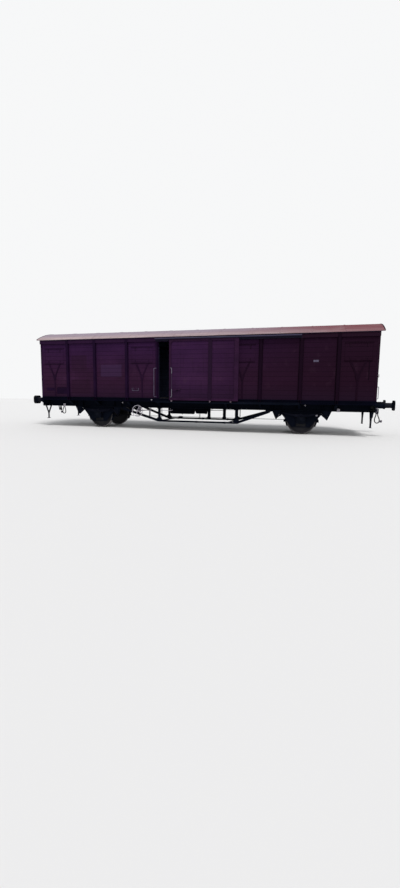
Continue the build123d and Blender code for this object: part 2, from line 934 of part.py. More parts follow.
def six_sided_bar(x, z, y0, y1, radius):
    """A hexagonal bar across the wagon, such as a nut or a pin head."""
    return extrude(Plane.XZ.offset(-max(y0, y1)) * Pos(x, z) * RegularPolygon(radius, 6),
                   amount=abs(y1 - y0))


def spring_links(side):
    """The two link plates of one spring eye, down to the hanger's pin, with their pin heads outside."""
    pins = (side * spring_eye_x, spring_eye_z), (side * link_bottom_x, rail_z + link_bottom_height)
    plates = []
    for out in (-1, 1):
        face = -spring_y + out * spring_width / 2
        back = face + out * link_thickness
        plate = link_plate(*pins, link_width, face, back)
        if out < 0:
            for x, z in pins:
                plate = plate + six_sided_bar(x, z, back, back - pin_head_thickness, pin_head_radius)
        plates.append(plate)
    return plates


def spring_hanger(side):
    """The wedge-shaped bracket from the sole bar down between the links' lower ends."""
    x = link_bottom_x
    z = rail_z + link_bottom_height
    foot = hanger_foot / 2
    toe = foot * hanger_toe_share
    outline = [(hanger_inner_x, sole_bottom), (hanger_outer_x, sole_bottom), (x + foot, z),
               (x + toe, z - foot), (x - toe, z - foot), (x - foot, z)]
    points = [(side * a, b) for a, b in outline]
    return prism_y(points, -spring_y - spring_width / 2, -spring_y + spring_width / 2)


# Buffers and draw gear

def buffer_housing():
    """The fixed base and tube of the buffer at +X on side a."""
    x0 = half_length
    half = buffer_base / 2
    base = block(x0, x0 + buffer_base_thickness, -buffer_y - half, -buffer_y + half, buffer_z - half,
                 buffer_z + half)
    tube = round_bar((x0, -buffer_y, buffer_z), (x0 + buffer_tube_length, -buffer_y, buffer_z),
                     buffer_tube_radius)
    return base + tube


def buffer_head():
    """The plunger and its oblong head, from the housing's mouth outwards."""
    x0 = half_length + buffer_tube_length
    x1 = half_length + buffer_reach - buffer_head_thickness
    plunger = round_bar((x0, -buffer_y, buffer_z), (x1, -buffer_y, buffer_z), buffer_plunger_radius)
    outline = Pos(-buffer_y, buffer_z) * RectangleRounded(buffer_head_width, buffer_head_height,
                                                          buffer_head_corner)
    return plunger + extrude(Plane.YZ.offset(x1) * outline, amount=buffer_head_thickness)


def draw_hook():
    """The hook at +X, seen from the side."""
    x = half_length
    z = hook_z
    half = hook_shank / 2
    tail = x - hook_tail
    nose = [(x + out, z + up) for out, up in hook_outline]
    points = [(tail, z - half), (x + hook_neck, z - half), *nose, (x + hook_root, z + half),
              (tail, z + half)]
    hook = prism_y(points, -hook_thickness / 2, hook_thickness / 2)
    ends = [(x + hook_pin_x, side * hook_thickness, z) for side in (-1, 1)]
    return hook - round_bar(*ends, hook_pin_radius + running_gap)


def screw_coupling():
    """The coupling at +X, hung up in its own hook: links down, the screw, and the shackle back up."""
    pin = (half_length + hook_pin_x, hook_z)
    top = (half_length + screw_top_x, hook_z - screw_top_drop)
    low = (half_length + screw_low_x, hook_z - screw_low_drop)
    throat = (half_length + shackle_x, hook_z + shackle_rise)
    half = link_half_width
    shape = round_bar((pin[0], -half, pin[1]), (pin[0], half, pin[1]), hook_pin_radius)
    shape = shape + round_bar((throat[0], -half, throat[1]), (throat[0], half, throat[1]), shackle_bar / 2)
    for nut in (top, low):
        shape = shape + six_sided_bar(*nut, -half, half, nut_radius)
    shape = shape + link_plate(top, low, screw_radius * 2, -screw_radius, screw_radius)
    for side in (-1, 1):
        y = side * half
        shape = shape + link_plate(pin, top, 2 * nut_radius, y, y + side * link_bar)
        shape = shape + link_plate(low, throat, shackle_bar, y, y + side * shackle_bar)
    middle = ((top[0] + low[0]) / 2, (top[1] + low[1]) / 2)
    weight = (middle[0], low[1] - nut_radius)
    shape = shape + link_plate(middle, weight, link_bar, -screw_radius - link_bar, -screw_radius)
    return shape + six_sided_bar(*weight, -screw_radius - 2 * link_bar, -screw_radius + link_bar,
                                 nut_radius)


# Brake gear

def wheel_middle():
    """Distance of the tread's middle from the wagon's middle."""
    return (back_to_back + flange_thickness + tyre_width) / 2


def brake_shoe(side):
    """A block beside the wheel at side a on its hanger, around x = 0."""
    inner = tread_radius + shoe_gap
    outer = inner + shoe_thickness
    y = -wheel_middle()
    span = shoe_high_angle - shoe_low_angle
    with BuildSketch() as block_shape:
        with BuildLine():
            a = CenterArc((0, 0), outer, shoe_low_angle, span)
            b = CenterArc((0, 0), inner, shoe_low_angle, span)
            Line(a @ 0, b @ 0)
            Line(a @ 1, b @ 1)
        make_face()
    shoe = extrude(Plane.XZ.offset(-y - shoe_width / 2) * Pos(0, axle_z) * block_shape.sketch,
                   amount=shoe_width)
    half = shoe_hanger_plate / 2
    low = rail_z + beam_height - beam_depth / 2
    hanger = block(hanger_x - shoe_hanger_plate, hanger_x, y - half, y + half, low,
                   floor_bottom - bearer_depth)
    shoe = shoe + hanger
    return shoe if side > 0 else mirrored_x(shoe)


def brake_beam(x):
    """A cross beam between two brake hangers."""
    z = rail_z + beam_height
    reach = wheel_middle() + shoe_hanger_plate / 2
    return block(x - beam_width / 2, x + beam_width / 2, -reach, reach, z - beam_depth / 2,
                 z + beam_depth / 2)


def brake_rods():
    """The pull rod from beam to beam, and the levers that bring the piston's push down to it."""
    z = rail_z + beam_height
    reach = wheelbase / 2 - hanger_x - beam_width
    half = lever_thickness / 2
    rod = block(-reach, reach, -rod_width / 2, rod_width / 2, z - rod_depth / 2, z + rod_depth / 2)
    x0 = cylinder_start + cylinder_length + piston_reach
    x1 = x0 + lever_spacing
    for x in (x0, x1):
        rod = rod + block(x, x + lever_width, -half, half, z - rod_depth / 2, vessel_z + lever_width / 2)
    tie = block(x0, x1, -half, half, vessel_z - half, vessel_z + half)
    arm = block(x0, x0 + lever_width, 0, stringer_y + lever_width / 2, vessel_z - half, vessel_z + half)
    piston = round_bar((x0, stringer_y, vessel_z), (x0 - piston_reach, stringer_y, vessel_z), piston_radius)
    return rod + tie + arm + piston


def handwheel():
    """The parking brake's wheel on side a, its shaft to the middle and the lever down to the rod."""
    ring = revolve(Pos(handwheel_radius, 0) * RegularPolygon(handwheel_rim, 6), Axis.Y)
    for i in range(handwheel_spokes):
        spoke = Pos(handwheel_radius / 2, 0, 0) * Box(handwheel_radius - handwheel_rim, spoke_thickness,
                                                      spoke_width)
        ring = ring + Rot(0, 360 * i / handwheel_spokes + spoke_start_angle, 0) * spoke
    x = -handwheel_x
    y = -handwheel_y
    z = rail_z + handwheel_height
    half = hand_lever_width / 2
    hub = round_bar((x, y - spoke_width, z), (x, y + spoke_width, z), handwheel_hub)
    spindle = round_bar((x, y, z), (x, 0, z), spindle_radius)
    lever = block(x - half, x + half, -rod_width / 2, rod_width / 2, rail_z + beam_height + rod_depth / 2,
                  z + half)
    return Pos(x, y, z) * ring + hub + spindle + lever


def handwheel_bracket():
    """The plate under the sole bar that carries the spindle, and the light rod beside it."""
    z = rail_z + handwheel_height
    x = -handwheel_x
    half = spindle_bracket_width / 2
    y0 = -spindle_bracket_y
    y1 = y0 + spindle_bracket_plate
    plate = block(x - half, x + half, y0, y1, z - half, sole_bottom)
    plate = plate - round_bar((x, y0 - 1, z), (x, y1 + 1, z), spindle_radius + running_gap)
    top = z + hand_rod_rise
    rod = block(x + half, x + half + hand_rod_length, y0, y1, top - spoke_thickness, top + spoke_thickness)
    hook = block(x + half + hand_rod_length - spindle_bracket_plate, x + half + hand_rod_length, y0, y1,
                 top, sole_bottom)
    return plate + rod + hook


def brake_cylinder():
    z = vessel_z
    return round_bar((cylinder_start, stringer_y, z), (cylinder_start + cylinder_length, stringer_y, z),
                     cylinder_radius)


def air_tank():
    z = vessel_z
    return round_bar((tank_start, stringer_y, z), (tank_start + tank_length, stringer_y, z), tank_radius)


def vessel_hangers():
    """Plates from a floor stringer down to the brake cylinder and the air tank."""
    top = floor_bottom - channel_plate - stringer_depth
    half_x = vessel_plate / 2
    half_y = stringer_width / 2
    hangers = []
    for start, length, radius in ((cylinder_start, cylinder_length, cylinder_radius),
                                  (tank_start, tank_length, tank_radius)):
        for place in (start + vessel_plate_inset, start + length - vessel_plate_inset):
            plate = block(place - half_x, place + half_x, stringer_y - half_y, stringer_y + half_y,
                          vessel_z, top)
            hangers.append(plate - round_bar((place - half_x - 1, stringer_y, vessel_z),
                                             (place + half_x + 1, stringer_y, vessel_z), radius))
    return hangers


def brake_pipe():
    """The air pipe along the wagon, from end plate to end plate."""
    z = rail_z + pipe_height
    reach = half_length - channel_plate
    return round_bar((-reach, -pipe_y, z), (reach, -pipe_y, z), pipe_radius)


def end_cock():
    """The cock on the air pipe's end at +X, with the block that holds both ends of the hose."""
    x = half_length + hose_reach
    z = rail_z + pipe_height
    low = rail_z + hose_top_height
    stem = round_bar((half_length, -pipe_y, z), (x, -pipe_y, z), cock_radius)
    left, right = hose_points[0][0] - cock_radius, hose_points[-1][0] + cock_radius
    body = block(x + left, x + right, -pipe_y - cock_radius, -pipe_y + cock_radius, low, z + cock_radius)
    return stem + body


def hose():
    """The air hose at +X, from the end cock down and round to the rest beside it."""
    x = half_length + hose_reach
    z = rail_z + hose_top_height
    points = [Vector(x + a, -pipe_y, z + b) for a, b in hose_points]
    radii = []
    for before, corner, after in zip(points, points[1:], points[2:]):
        turn = (corner - before).get_angle(after - corner)
        shorter = min((corner - before).length, (after - corner).length)
        radii.append(hose_bend_share * shorter / tan(radians(turn / 2)))
        print(f"hose turn {turn:.0f} degrees, radius {radii[-1]:.0f} mm")
    path = FilletPolyline(*points, radius=radii)
    tube = sweep(Plane(path @ 0, z_dir=path % 0) * RegularPolygon(hose_radius, 6), path=path)
    print(f"hose length {path.length:.0f} mm, volume {tube.volume:.0f} mm3")
    return tube


# Steps and handrails

def corner_step():
    """The step under side a's +X corner: two straps down from the headstock, a stem and a narrow tread."""
    x = half_length - step_x
    join = rail_z + step_join_height
    low = rail_z + step_height
    with BuildSketch() as outline:
        with BuildLine():
            Line((-step_outer_y, sole_bottom + step_strap_rise), (-step_stem_y, join))
            Line((-step_inner_y, sole_bottom + step_strap_rise), (-step_stem_y, join))
            Line((-step_stem_y, join), (-step_stem_y, low))
            Line((-step_stem_y - step_tread / 2, low), (-step_stem_y + step_tread / 2, low))
        trace(line_width=step_plate)
    shape = extrude(Plane.YZ.offset(x - step_strap / 2) * outline.sketch, amount=step_strap)
    return shape - block(x - step_strap, x + step_strap, -wall_outer, 0, sole_bottom, sole_bottom + 200)


# Writing each piece to its own file

def at_wheels(shape):
    """A piece built around x = 0 on side a, set at both axles and mirrored to side b."""
    pieces = []
    for x in (-wheelbase / 2, wheelbase / 2):
        placed = Pos(x, 0, 0) * shape
        pieces += [placed, mirrored_y(placed)]
    return pieces


def both_sides(solids):
    return list(solids) + [opposite(s) for s in solids]


write("sole_bars", sole_bars())
write("headstocks", both_sides([headstock()]))
write("cross_bearers", cross_bearers())
write("floor_stringers", floor_stringers())
write("floor_brackets", floor_brackets())
write("floor", [floor_deck()])
write("trusses", both_sides([truss()]))
write("truss_stays", truss_stays())

write("side_walls", four_corners(side_wall()))
write("side_posts", both_sides(side_posts()))
write("corner_posts", four_corners(corner_post()))
write("side_sills", both_sides([side_sill()]))
write("cantrails", both_sides([cantrail()]))
write("end_walls", both_sides([end_wall()]))
write("gables", both_sides([gable()]))
write("end_posts", both_sides(end_posts()))
write("roof_bows", [roof_bow(side * door_post_centre) for side in (-1, 1)])
write("roof", [roof_shell()])
centres = [side * x for side in (-1, 1) for x in (vent_inner_centre, vent_outer_centre)]
write("vents", both_sides([vent(x) for x in centres]))
write("wall_braces", both_sides([wall_brace(x) for x in centres]))

write("door_tracks", both_sides([door_track()]))
write("door_rails", both_sides([door_lower_rail()]))
to_b = Pos(door_open, 0, 0)
for side, place in (("a", lambda s: s), ("b", lambda s: to_b * opposite(s))):
    write(f"door_{side}_frame", [place(door_frame() + door_latch())])
    write(f"door_{side}_planks", [place(s) for s in door_planks()])
    write(f"door_{side}_rollers", [place(s) for s in door_rollers()])
    write(f"door_{side}_handle", [place(door_handle())])
write("handrails", both_sides([side_handle()]))

write("wheelset_front", [wheelset(wheelbase / 2)])
write("wheelset_rear", [wheelset(-wheelbase / 2)])
write("axle_guards", at_wheels(axle_guard()))
write("axle_boxes", at_wheels(axle_box()))
write("leaf_springs", at_wheels(leaf_spring()))
write("spring_links", [s for side in (-1, 1) for plate in spring_links(side) for s in at_wheels(plate)])
write("spring_hangers", [s for side in (-1, 1) for s in at_wheels(spring_hanger(side))])

write("buffer_housings", four_corners(buffer_housing()))
write("buffer_heads", four_corners(buffer_head()))
write("draw_hooks", both_sides([draw_hook()]))
write("screw_couplings", both_sides([screw_coupling()]))
write("end_cocks", both_sides([end_cock()]))
write("hose_front", [hose()])
write("hose_rear", [opposite(hose())])

write("brake_shoes", [s for side in (-1, 1) for s in at_wheels(brake_shoe(side))])
beam_x = hanger_x + beam_width / 2
axles = (-wheelbase / 2, wheelbase / 2)
write("brake_beams", [brake_beam(axle + out) for axle in axles for out in (-beam_x, beam_x)])
write("brake_rods", [brake_rods()])
write("handwheel", [handwheel()])
write("handwheel_bracket", [handwheel_bracket()])
write("brake_vessels", [brake_cylinder(), air_tank()])
write("vessel_hangers", vessel_hangers())
write("brake_pipe", [brake_pipe()])
write("corner_steps", four_corners(corner_step()))
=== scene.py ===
import bpy
import bmesh
import json
import math
from mathutils import Matrix, Vector


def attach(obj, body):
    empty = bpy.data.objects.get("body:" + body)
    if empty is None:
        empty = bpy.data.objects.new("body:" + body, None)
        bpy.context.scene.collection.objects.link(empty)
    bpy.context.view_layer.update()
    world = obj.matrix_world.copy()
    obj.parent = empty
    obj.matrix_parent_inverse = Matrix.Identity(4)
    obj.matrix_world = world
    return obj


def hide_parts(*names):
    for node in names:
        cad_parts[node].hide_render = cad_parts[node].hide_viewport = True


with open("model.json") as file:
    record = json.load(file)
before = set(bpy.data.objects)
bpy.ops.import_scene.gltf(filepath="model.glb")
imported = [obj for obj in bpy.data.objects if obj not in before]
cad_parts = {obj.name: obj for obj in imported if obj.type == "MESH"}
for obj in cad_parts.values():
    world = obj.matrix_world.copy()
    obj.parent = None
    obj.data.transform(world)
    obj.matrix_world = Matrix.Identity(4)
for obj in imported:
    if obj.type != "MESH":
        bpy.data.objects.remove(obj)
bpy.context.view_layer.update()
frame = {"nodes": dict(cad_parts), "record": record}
nodes = frame["nodes"]

# Places from the part's source. Pieces are drawn in millimetres and set down in metres, and materials
# read places in metres. Side a faces -Y, and side b is side a turned half a turn about Z.
MM = 0.001
RAIL = 28
FLANGE = 1348
HALF = 6390
FLOOR = 1228
PLANK = 161
PLANKS = 13
POSTS = (2560, 3931, 5140)
DOOR_POST = 1310
VENTS = (-5762.5, -1927.5, 1927.5, 5762.5)
AXLE_X = 4000
AXLE_Z = 528
DOOR_OPEN = 505
DOOR_X0 = -790
DOOR_X1 = 1800
DOOR_FACE = 1477
DOOR_RIB = 765
SOLE_WEB = 950
SOLE_LOW = 846
BUFFER_Y = 875
BUFFER_Z = 1088
PIPE_Y = -420
PIPE_Z = 928
VESSEL_Y = 330
VESSEL_Z = 758
ROD_Z = 468
EAVE = 1425
EAVE_Z = 3503
ROOF_RISE = 380
ROOF_END = 6505

PAIRS = ((-1, -1), (-1, 1), (1, -1), (1, 1))
OUT = (0, -1, 0)
INWARD = (0, 1, 0)
FRONT = (1, 0, 0)
REAR = (-1, 0, 0)
UP = (0, 0, 1)
DOWN = (0, 0, -1)
HALF_TURN = Matrix.Rotation(math.pi, 4, "Z")

# The camera, fitted to the corners of the wagon in the photograph, in metres
CAMERA_PLACE = (4.261, -15.43, 1.381)
CAMERA_VIEW = (-0.2627, 0.9568, -0.1247)
CAMERA_ROLL = 0.012
CAMERA_LENS = 15.970


def place(name, data):
    """Puts an object into the scene."""
    obj = bpy.data.objects.new(name, data)
    bpy.context.scene.collection.objects.link(obj)
    return obj


def set_camera():
    data = bpy.data.cameras.new("camera")
    camera = place("camera", data)
    bpy.context.scene.camera = camera
    forward = Vector(CAMERA_VIEW).normalized()
    right = forward.cross(Vector(UP)).normalized()
    up = right.cross(forward)
    side = right * math.cos(CAMERA_ROLL) + up * math.sin(CAMERA_ROLL)
    top = up * math.cos(CAMERA_ROLL) - right * math.sin(CAMERA_ROLL)
    m = Matrix((side, top, -forward)).transposed().to_4x4()
    m.translation = Vector(CAMERA_PLACE)
    camera.matrix_world = m
    data.sensor_width = 36
    data.lens = CAMERA_LENS
    data.clip_end = 200


# Materials

EVEN = (1, 1, 1)


def rgba(shade):
    """A grey from 0 to 1, or a colour as the eye sees it, 0 to 255, as linear light with its alpha."""
    if not isinstance(shade, tuple):
        return (shade, shade, shade, 1)
    parts = [v / 255 for v in shade]
    return (*(p / 12.92 if p <= 0.04045 else ((p + 0.055) / 1.055) ** 2.4 for p in parts), 1)


class Mat:
    """A small node tree builder for one material, whose colour is laid on coat by coat."""

    def __init__(self, name, roughness=0.6, metallic=0.0, specular=0.05):
        self.m = bpy.data.materials.new(name)
        self.m.use_nodes = True
        self.m.node_tree.nodes.clear()
        self.shader = self.node("BsdfPrincipled", {"Roughness": roughness, "Metallic": metallic,
                                                   "Specular IOR Level": specular})
        self.node("OutputMaterial", {0: self.shader.outputs[0]})
        self.coords = self.node("TexCoord").outputs["Object"]
        self.base = None

    def link(self, source, socket):
        self.m.node_tree.links.new(source, socket)

    def node(self, kind, inputs=None, **settings):
        """A new node with its settings, and with its inputs set to values or joined to other nodes."""
        n = self.m.node_tree.nodes.new("ShaderNode" + kind)
        for key, value in settings.items():
            setattr(n, key, value)
        for key, value in (inputs or {}).items():
            if isinstance(value, bpy.types.NodeSocket):
                self.link(value, n.inputs[key])
            else:
                n.inputs[key].default_value = value
        return n

    def noise(self, stretch, scale, detail=4.0, rough=0.55):
        vector = self.node("Mapping", {"Scale": stretch, "Vector": self.coords}).outputs[0]
        inputs = {"Vector": vector, "Scale": scale, "Detail": detail, "Roughness": rough}
        return self.node("TexNoise", inputs).outputs[0]

    def math(self, operation, a, b=0.0):
        return self.node("Math", {0: a, 1: b}, operation=operation).outputs[0]

    def plus(self, a, b):
        return self.math("ADD", a, b)

    def minus(self, a, b):
        return self.math("SUBTRACT", a, b)

    def times(self, a, b):
        return self.math("MULTIPLY", a, b)

    def size(self, a):
        return self.math("ABSOLUTE", a)

    def below(self, a, limit):
        return self.math("LESS_THAN", a, limit)

    def above(self, a, limit):
        return self.math("GREATER_THAN", a, limit)

    def axis(self, name):
        return self.node("SeparateXYZ", {0: self.coords}).outputs[name]

    def along(self, share):
        """How far a point lies towards +X, with 0.5 in the wagon's middle."""
        return self.plus(self.times(self.axis("X"), share), 0.5)

    def facing_up(self):
        normal = self.node("NewGeometry").outputs["Normal"]
        return self.node("SeparateXYZ", {0: normal}).outputs[2]

    def ramp(self, value, *stops):
        """A value turned into a shade by (value, shade) stops."""
        n = self.node("ValToRGB", {0: value})
        elements = n.color_ramp.elements
        while len(elements) < len(stops):
            elements.new(0.5)
        for element, (position, shade) in zip(elements, stops):
            element.position = position
            element.color = rgba(shade)
        return n.outputs[0]

    def coat(self, factor, colour):
        """Lays a colour over what is there, as thick as the factor says."""
        below = rgba(self.base) if isinstance(self.base, tuple) else self.base
        inputs = {0: factor, 6: below, 7: rgba(colour)}
        self.base = self.node("Mix", inputs, data_type="RGBA").outputs[2]

    def over(self, value, start, end, most, colour):
        """Lays a colour on where a value rises from start to end, at most so thick."""
        self.coat(self.ramp(value, (start, 0), (end, most)), colour)

    def rectangle(self, x0, x1, z0, z1, ragged, most):
        """How much a point of either side lies in a rectangle of that side, with ragged edges."""
        side = self.times(self.math("SIGN", self.axis("Y")), -1)
        fray = self.times(self.minus(ragged, 0.5), 0.05)
        factor = most
        for value, low, high in ((self.times(self.axis("X"), side), x0, x1), (self.axis("Z"), z0, z1)):
            far = self.plus(self.size(self.minus(value, (low + high) / 2)), fray)
            factor = self.times(self.below(far, (high - low) / 2), factor)
        return factor

    def done(self, gloss, low, high, height, strength, distance):
        """Joins up the colour, a roughness from low to high and a bump, and gives the material."""
        rough = self.node("MapRange", {"Value": gloss, "To Min": low, "To Max": high})
        bump = self.node("Bump", {"Height": height, "Strength": strength, "Distance": distance})
        self.link(self.base, self.shader.inputs["Base Color"])
        self.link(rough.outputs[0], self.shader.inputs["Roughness"])
        self.link(bump.outputs[0], self.shader.inputs["Normal"])
        return self.m


def board_lines(m, size, across):
    """Each board's own shade, and how near a point is to a board joint, along one axis."""
    boards = m.math("DIVIDE", across, size)
    shade = m.node("TexWhiteNoise", noise_dimensions="1D")
    m.link(m.math("FLOOR", boards), shade.inputs["W"])
    return shade.outputs[0], m.size(m.minus(m.math("FRACT", boards), 0.5))


def painted_boards(name, low, middle, high, upper, chalk=0.0, colour_rectangles=()):
    """Worn maroon paint on level boards: shades, grain, streaks, chips and grime, and darker towards +X."""
    m = Mat(name, 0.68)
    z = m.axis("Z")
    shade, edge = board_lines(m, PLANK * MM, m.minus(z, FLOOR * MM))
    patches = m.noise((0.55, 0.55, 1.1), 1.6, 6)
    grain = m.noise((1.2, 1.2, 60), 3.0, 5, 0.65)
    streaks = m.noise((9, 9, 0.5), 2.0)
    worn = m.noise((3.2, 3.2, 14), 3.0, 8, 0.7)
    bleached = m.noise((1.3, 1.3, 0.9), 2.2, 7, 0.62)
    m.base = m.ramp(patches, (0.30, low), (0.52, middle), (0.75, high))
    m.coat(m.times(shade, 0.30), low)
    m.over(grain, 0.42, 0.75, 0.22, (62, 38, 56))
    m.over(streaks, 0.52, 0.72, 0.40, (25, 10, 22))
    m.over(m.times(m.minus(z, 2.1), 0.55), 0.0, 0.7, 0.38, upper)
    m.coat(m.ramp(m.along(0.08), (0.50, 0), (0.80, 0.80), (0.98, 0.95)), (25, 4, 20))
    m.over(worn, 0.64, 0.71, 0.25 + chalk, (72, 54, 66))
    m.over(bleached, 0.58, 0.80, 0.22, (68, 44, 60))
    grime = m.plus(m.times(m.minus(1.85, z), 1.4), m.times(patches, 0.35))
    m.over(grime, 0.25, 1.0, 0.60, (25, 12, 29))
    for *corners, paint in colour_rectangles:
        m.coat(m.rectangle(*corners, patches, 0.55), paint)
    # Painted shade: the walls' inner faces are slate blue, standing in for the bluish shade inside the wagon
    indoor_shade = m.times(m.below(m.size(m.axis("Y")), 1.325), m.below(m.size(m.axis("X")), 6.372))
    m.coat(m.times(indoor_shade, 0.9), (60, 66, 90))
    m.over(edge, 0.44, 0.49, 0.52, (14, 6, 14))
    return m.done(grain, 0.55, 0.85, m.plus(m.times(grain, 0.6), m.times(worn, 0.4)), 0.45, 0.004)


def painted_steel(name, paint, dark, rust, wear, scale=1.0, specular=0.05, dust_and_highlight=None, far=None,
                  colour_rectangles=()):
    """Matt paint on rolled steel, with run marks, chips down to rust and, where given, a pale coat on the
    faces that look up: dusty dirt on most paints, and painted highlight on the track's hood.

    Far is the colour that the paint turns to towards +X."""
    m = Mat(name, 0.6, specular=specular)
    cloud = m.noise((1, 1, 1.4), 1.8 * scale, 6)
    fine = m.noise(EVEN, 26 * scale, 8, 0.7)
    runs = m.noise((14, 14, 0.8), 2.0)
    m.base = m.ramp(cloud, (0.3, dark), (0.7, paint))
    m.over(runs, 0.55, 0.75, 0.5, dark)
    if far:
        m.over(m.along(0.08), 0.45, 0.75, 0.85, far)
    for *corners, patch in colour_rectangles:
        m.coat(m.rectangle(*corners, cloud, 0.85), patch)
    mixed = m.plus(m.times(fine, 0.62), m.times(cloud, 0.42))
    chips = m.ramp(mixed, (wear - 0.04, 0), (wear + 0.05, 0.9))
    m.coat(chips, rust)
    # Pale coat on upward faces: dusty dirt, and on the track's hood painted highlight where light falls on
    # its top
    if dust_and_highlight:
        m.over(m.times(m.facing_up(), m.plus(cloud, 0.35)), 0.45, 0.9, 0.75, dust_and_highlight)
    return m.done(fine, 0.45, 0.8, m.plus(fine, m.times(chips, -0.6)), 0.22, 0.002)


def roof_paint():
    """Dusty grey-pink roof paint, darker and redder towards +X, with long pale streaks and spots of rust."""
    m = Mat("roof_paint", 0.8, specular=0.02)
    along = m.along(0.075)
    cloud = m.noise((0.5, 1.4, 1.4), 2.2, 7)
    long_streaks = m.noise((0.35, 9, 9), 2.5, 6, 0.6)
    cross = m.noise((7, 0.6, 0.6), 1.6, 5, 0.6)
    rust = m.noise(EVEN, 9, 9, 0.72)
    faded = m.plus(along, m.times(m.minus(cloud, 0.5), 0.4))
    m.base = m.ramp(faded, (0.05, (156, 142, 148)), (0.50, (150, 134, 142)), (0.90, (118, 78, 84)))
    inward = m.plus(m.minus(1.42, m.size(m.axis("Y"))), m.times(m.minus(long_streaks, 0.5), 0.8))
    upper = m.ramp(inward, (0.10, 0), (0.45, 1))
    m.coat(m.times(upper, m.ramp(along, (0.55, 0.60), (0.80, 0))), (147, 138, 153))
    m.coat(m.times(upper, m.ramp(along, (0.66, 0), (0.92, 0.85))), (114, 71, 76))
    eaves = m.times(m.ramp(inward, (0, 1), (0.22, 0)), m.ramp(along, (0.3, 0.70), (0.95, 0.12)))
    m.coat(eaves, (184, 166, 164))
    m.over(long_streaks, 0.45, 0.75, 0.45, (118, 86, 90))
    m.over(cross, 0.56, 0.78, 0.4, (104, 84, 92))
    m.over(rust, 0.64, 0.71, 0.7, (108, 62, 50))
    m.over(cloud, 0.55, 0.8, 0.30, (170, 158, 158))
    # Painted shade: faces that look down, such as the roof's underside, are dark blue-grey, as if in shade
    m.coat(m.below(m.facing_up(), -0.2), (44, 50, 72))
    return m.done(long_streaks, 0.72, 0.95, m.plus(m.times(long_streaks, 0.4), rust), 0.2, 0.003)


def deck_boards():
    """Bare worn floor boards laid across the wagon, dark where their ends lie outside."""
    m = Mat("deck_boards", 0.8)
    shade, edge = board_lines(m, 0.19, m.axis("X"))
    grain = m.noise((50, 1.4, 1), 2.5, 6, 0.65)
    m.base = m.ramp(grain, (0.3, (58, 52, 50)), (0.7, (98, 90, 86)))
    m.coat(m.times(shade, 0.45), (46, 42, 44))
    m.over(edge, 0.47, 0.495, 0.9, (16, 14, 14))
    m.coat(m.times(m.above(m.size(m.axis("X")), 6.365), 0.85), (20, 14, 20))
    return m.done(grain, 0.65, 0.9, grain, 0.4, 0.003)


def wheel_steel():
    """Brown-black dirt on the disc, a bright worn tread and a greasy hub, by distance from the axle."""
    m = Mat("wheel_steel", 0.5, 0.25, 0.3)
    dx = m.minus(m.size(m.axis("X")), AXLE_X * MM)
    dz = m.minus(m.axis("Z"), AXLE_Z * MM)
    r = m.math("SQRT", m.plus(m.times(dx, dx), m.times(dz, dz)))
    fine = m.noise(EVEN, 22, 8, 0.7)
    mixed = m.plus(m.times(fine, 0.5), m.times(m.noise(EVEN, 4, 6), 0.5))
    # Partly painted shade: the dark wheel colours carry a blue cast, the cool tint of the shade under the
    # wagon
    m.base = m.ramp(mixed, (0.35, (11, 13, 20)), (0.55, (21, 20, 27)), (0.75, (46, 37, 38)))
    bright = m.ramp(r, (0.492, 0), (0.498, 1), (0.505, 1), (0.515, 0.4))
    m.coat(bright, (128, 124, 124))
    m.coat(m.ramp(r, (0.10, 1), (0.20, 0)), (18, 16, 18))
    return m.done(m.minus(fine, m.times(bright, 0.35)), 0.3, 0.75, fine, 0.25, 0.002)


def rubber():
    """Weathered black rubber with dusty patches."""
    m = Mat("hose_rubber", 0.7)
    fine = m.noise(EVEN, 60, 6, 0.6)
    m.base = (8, 9, 14)
    m.over(m.noise(EVEN, 9, 5), 0.45, 0.75, 0.4, (34, 32, 38))
    return m.done(fine, 0.6, 0.85, fine, 0.2, 0.001)


def rubbed_bar():
    """The door's pull bar: pale paint left at both ends, and worn to dark steel where hands hold it."""
    m = Mat("rubbed_bar", 0.5)
    fine = m.noise(EVEN, 30, 8, 0.7)
    z = m.plus(m.axis("Z"), m.times(m.minus(fine, 0.5), 0.10))
    held = m.times(m.above(z, 1.56), m.below(z, 2.13))
    m.base = m.ramp(fine, (0.35, (92, 88, 100)), (0.65, (126, 122, 132)))
    m.coat(m.times(held, 0.9), (50, 30, 54))
    return m.done(fine, 0.4, 0.75, fine, 0.2, 0.001)


DUST = (50, 45, 47)
# Rectangles of colour: x from and to, z from and to, in metres, and the colour. On the walls they are plain
# repainted patches; on the hood, painted highlight.
WALL_PATCHES = ((-5.00, -4.16, 1.36, 1.93, (33, 13, 30)), (-4.98, -4.30, 2.24, 2.86, (34, 14, 32)),
                (-3.68, -2.79, 2.03, 2.49, (52, 34, 62)))
# Painted highlight: a pale band along the top of the track's hood, where light falls on its upper edge
HOOD_HIGHLIGHT = ((-9, 9, 3.403, 3.50, (70, 66, 86)),)


def door_paint(door, rib):
    """The paint of one door's frame, darker on the upright rib at rib millimetres."""
    strip = (rib * MM - 0.075, rib * MM + 0.075, 1.2, 3.34, (26, 10, 30))
    return painted_steel(f"{door}_steel", (45, 20, 46), (34, 14, 36), (60, 32, 38), 0.71, colour_rectangles=(strip,))
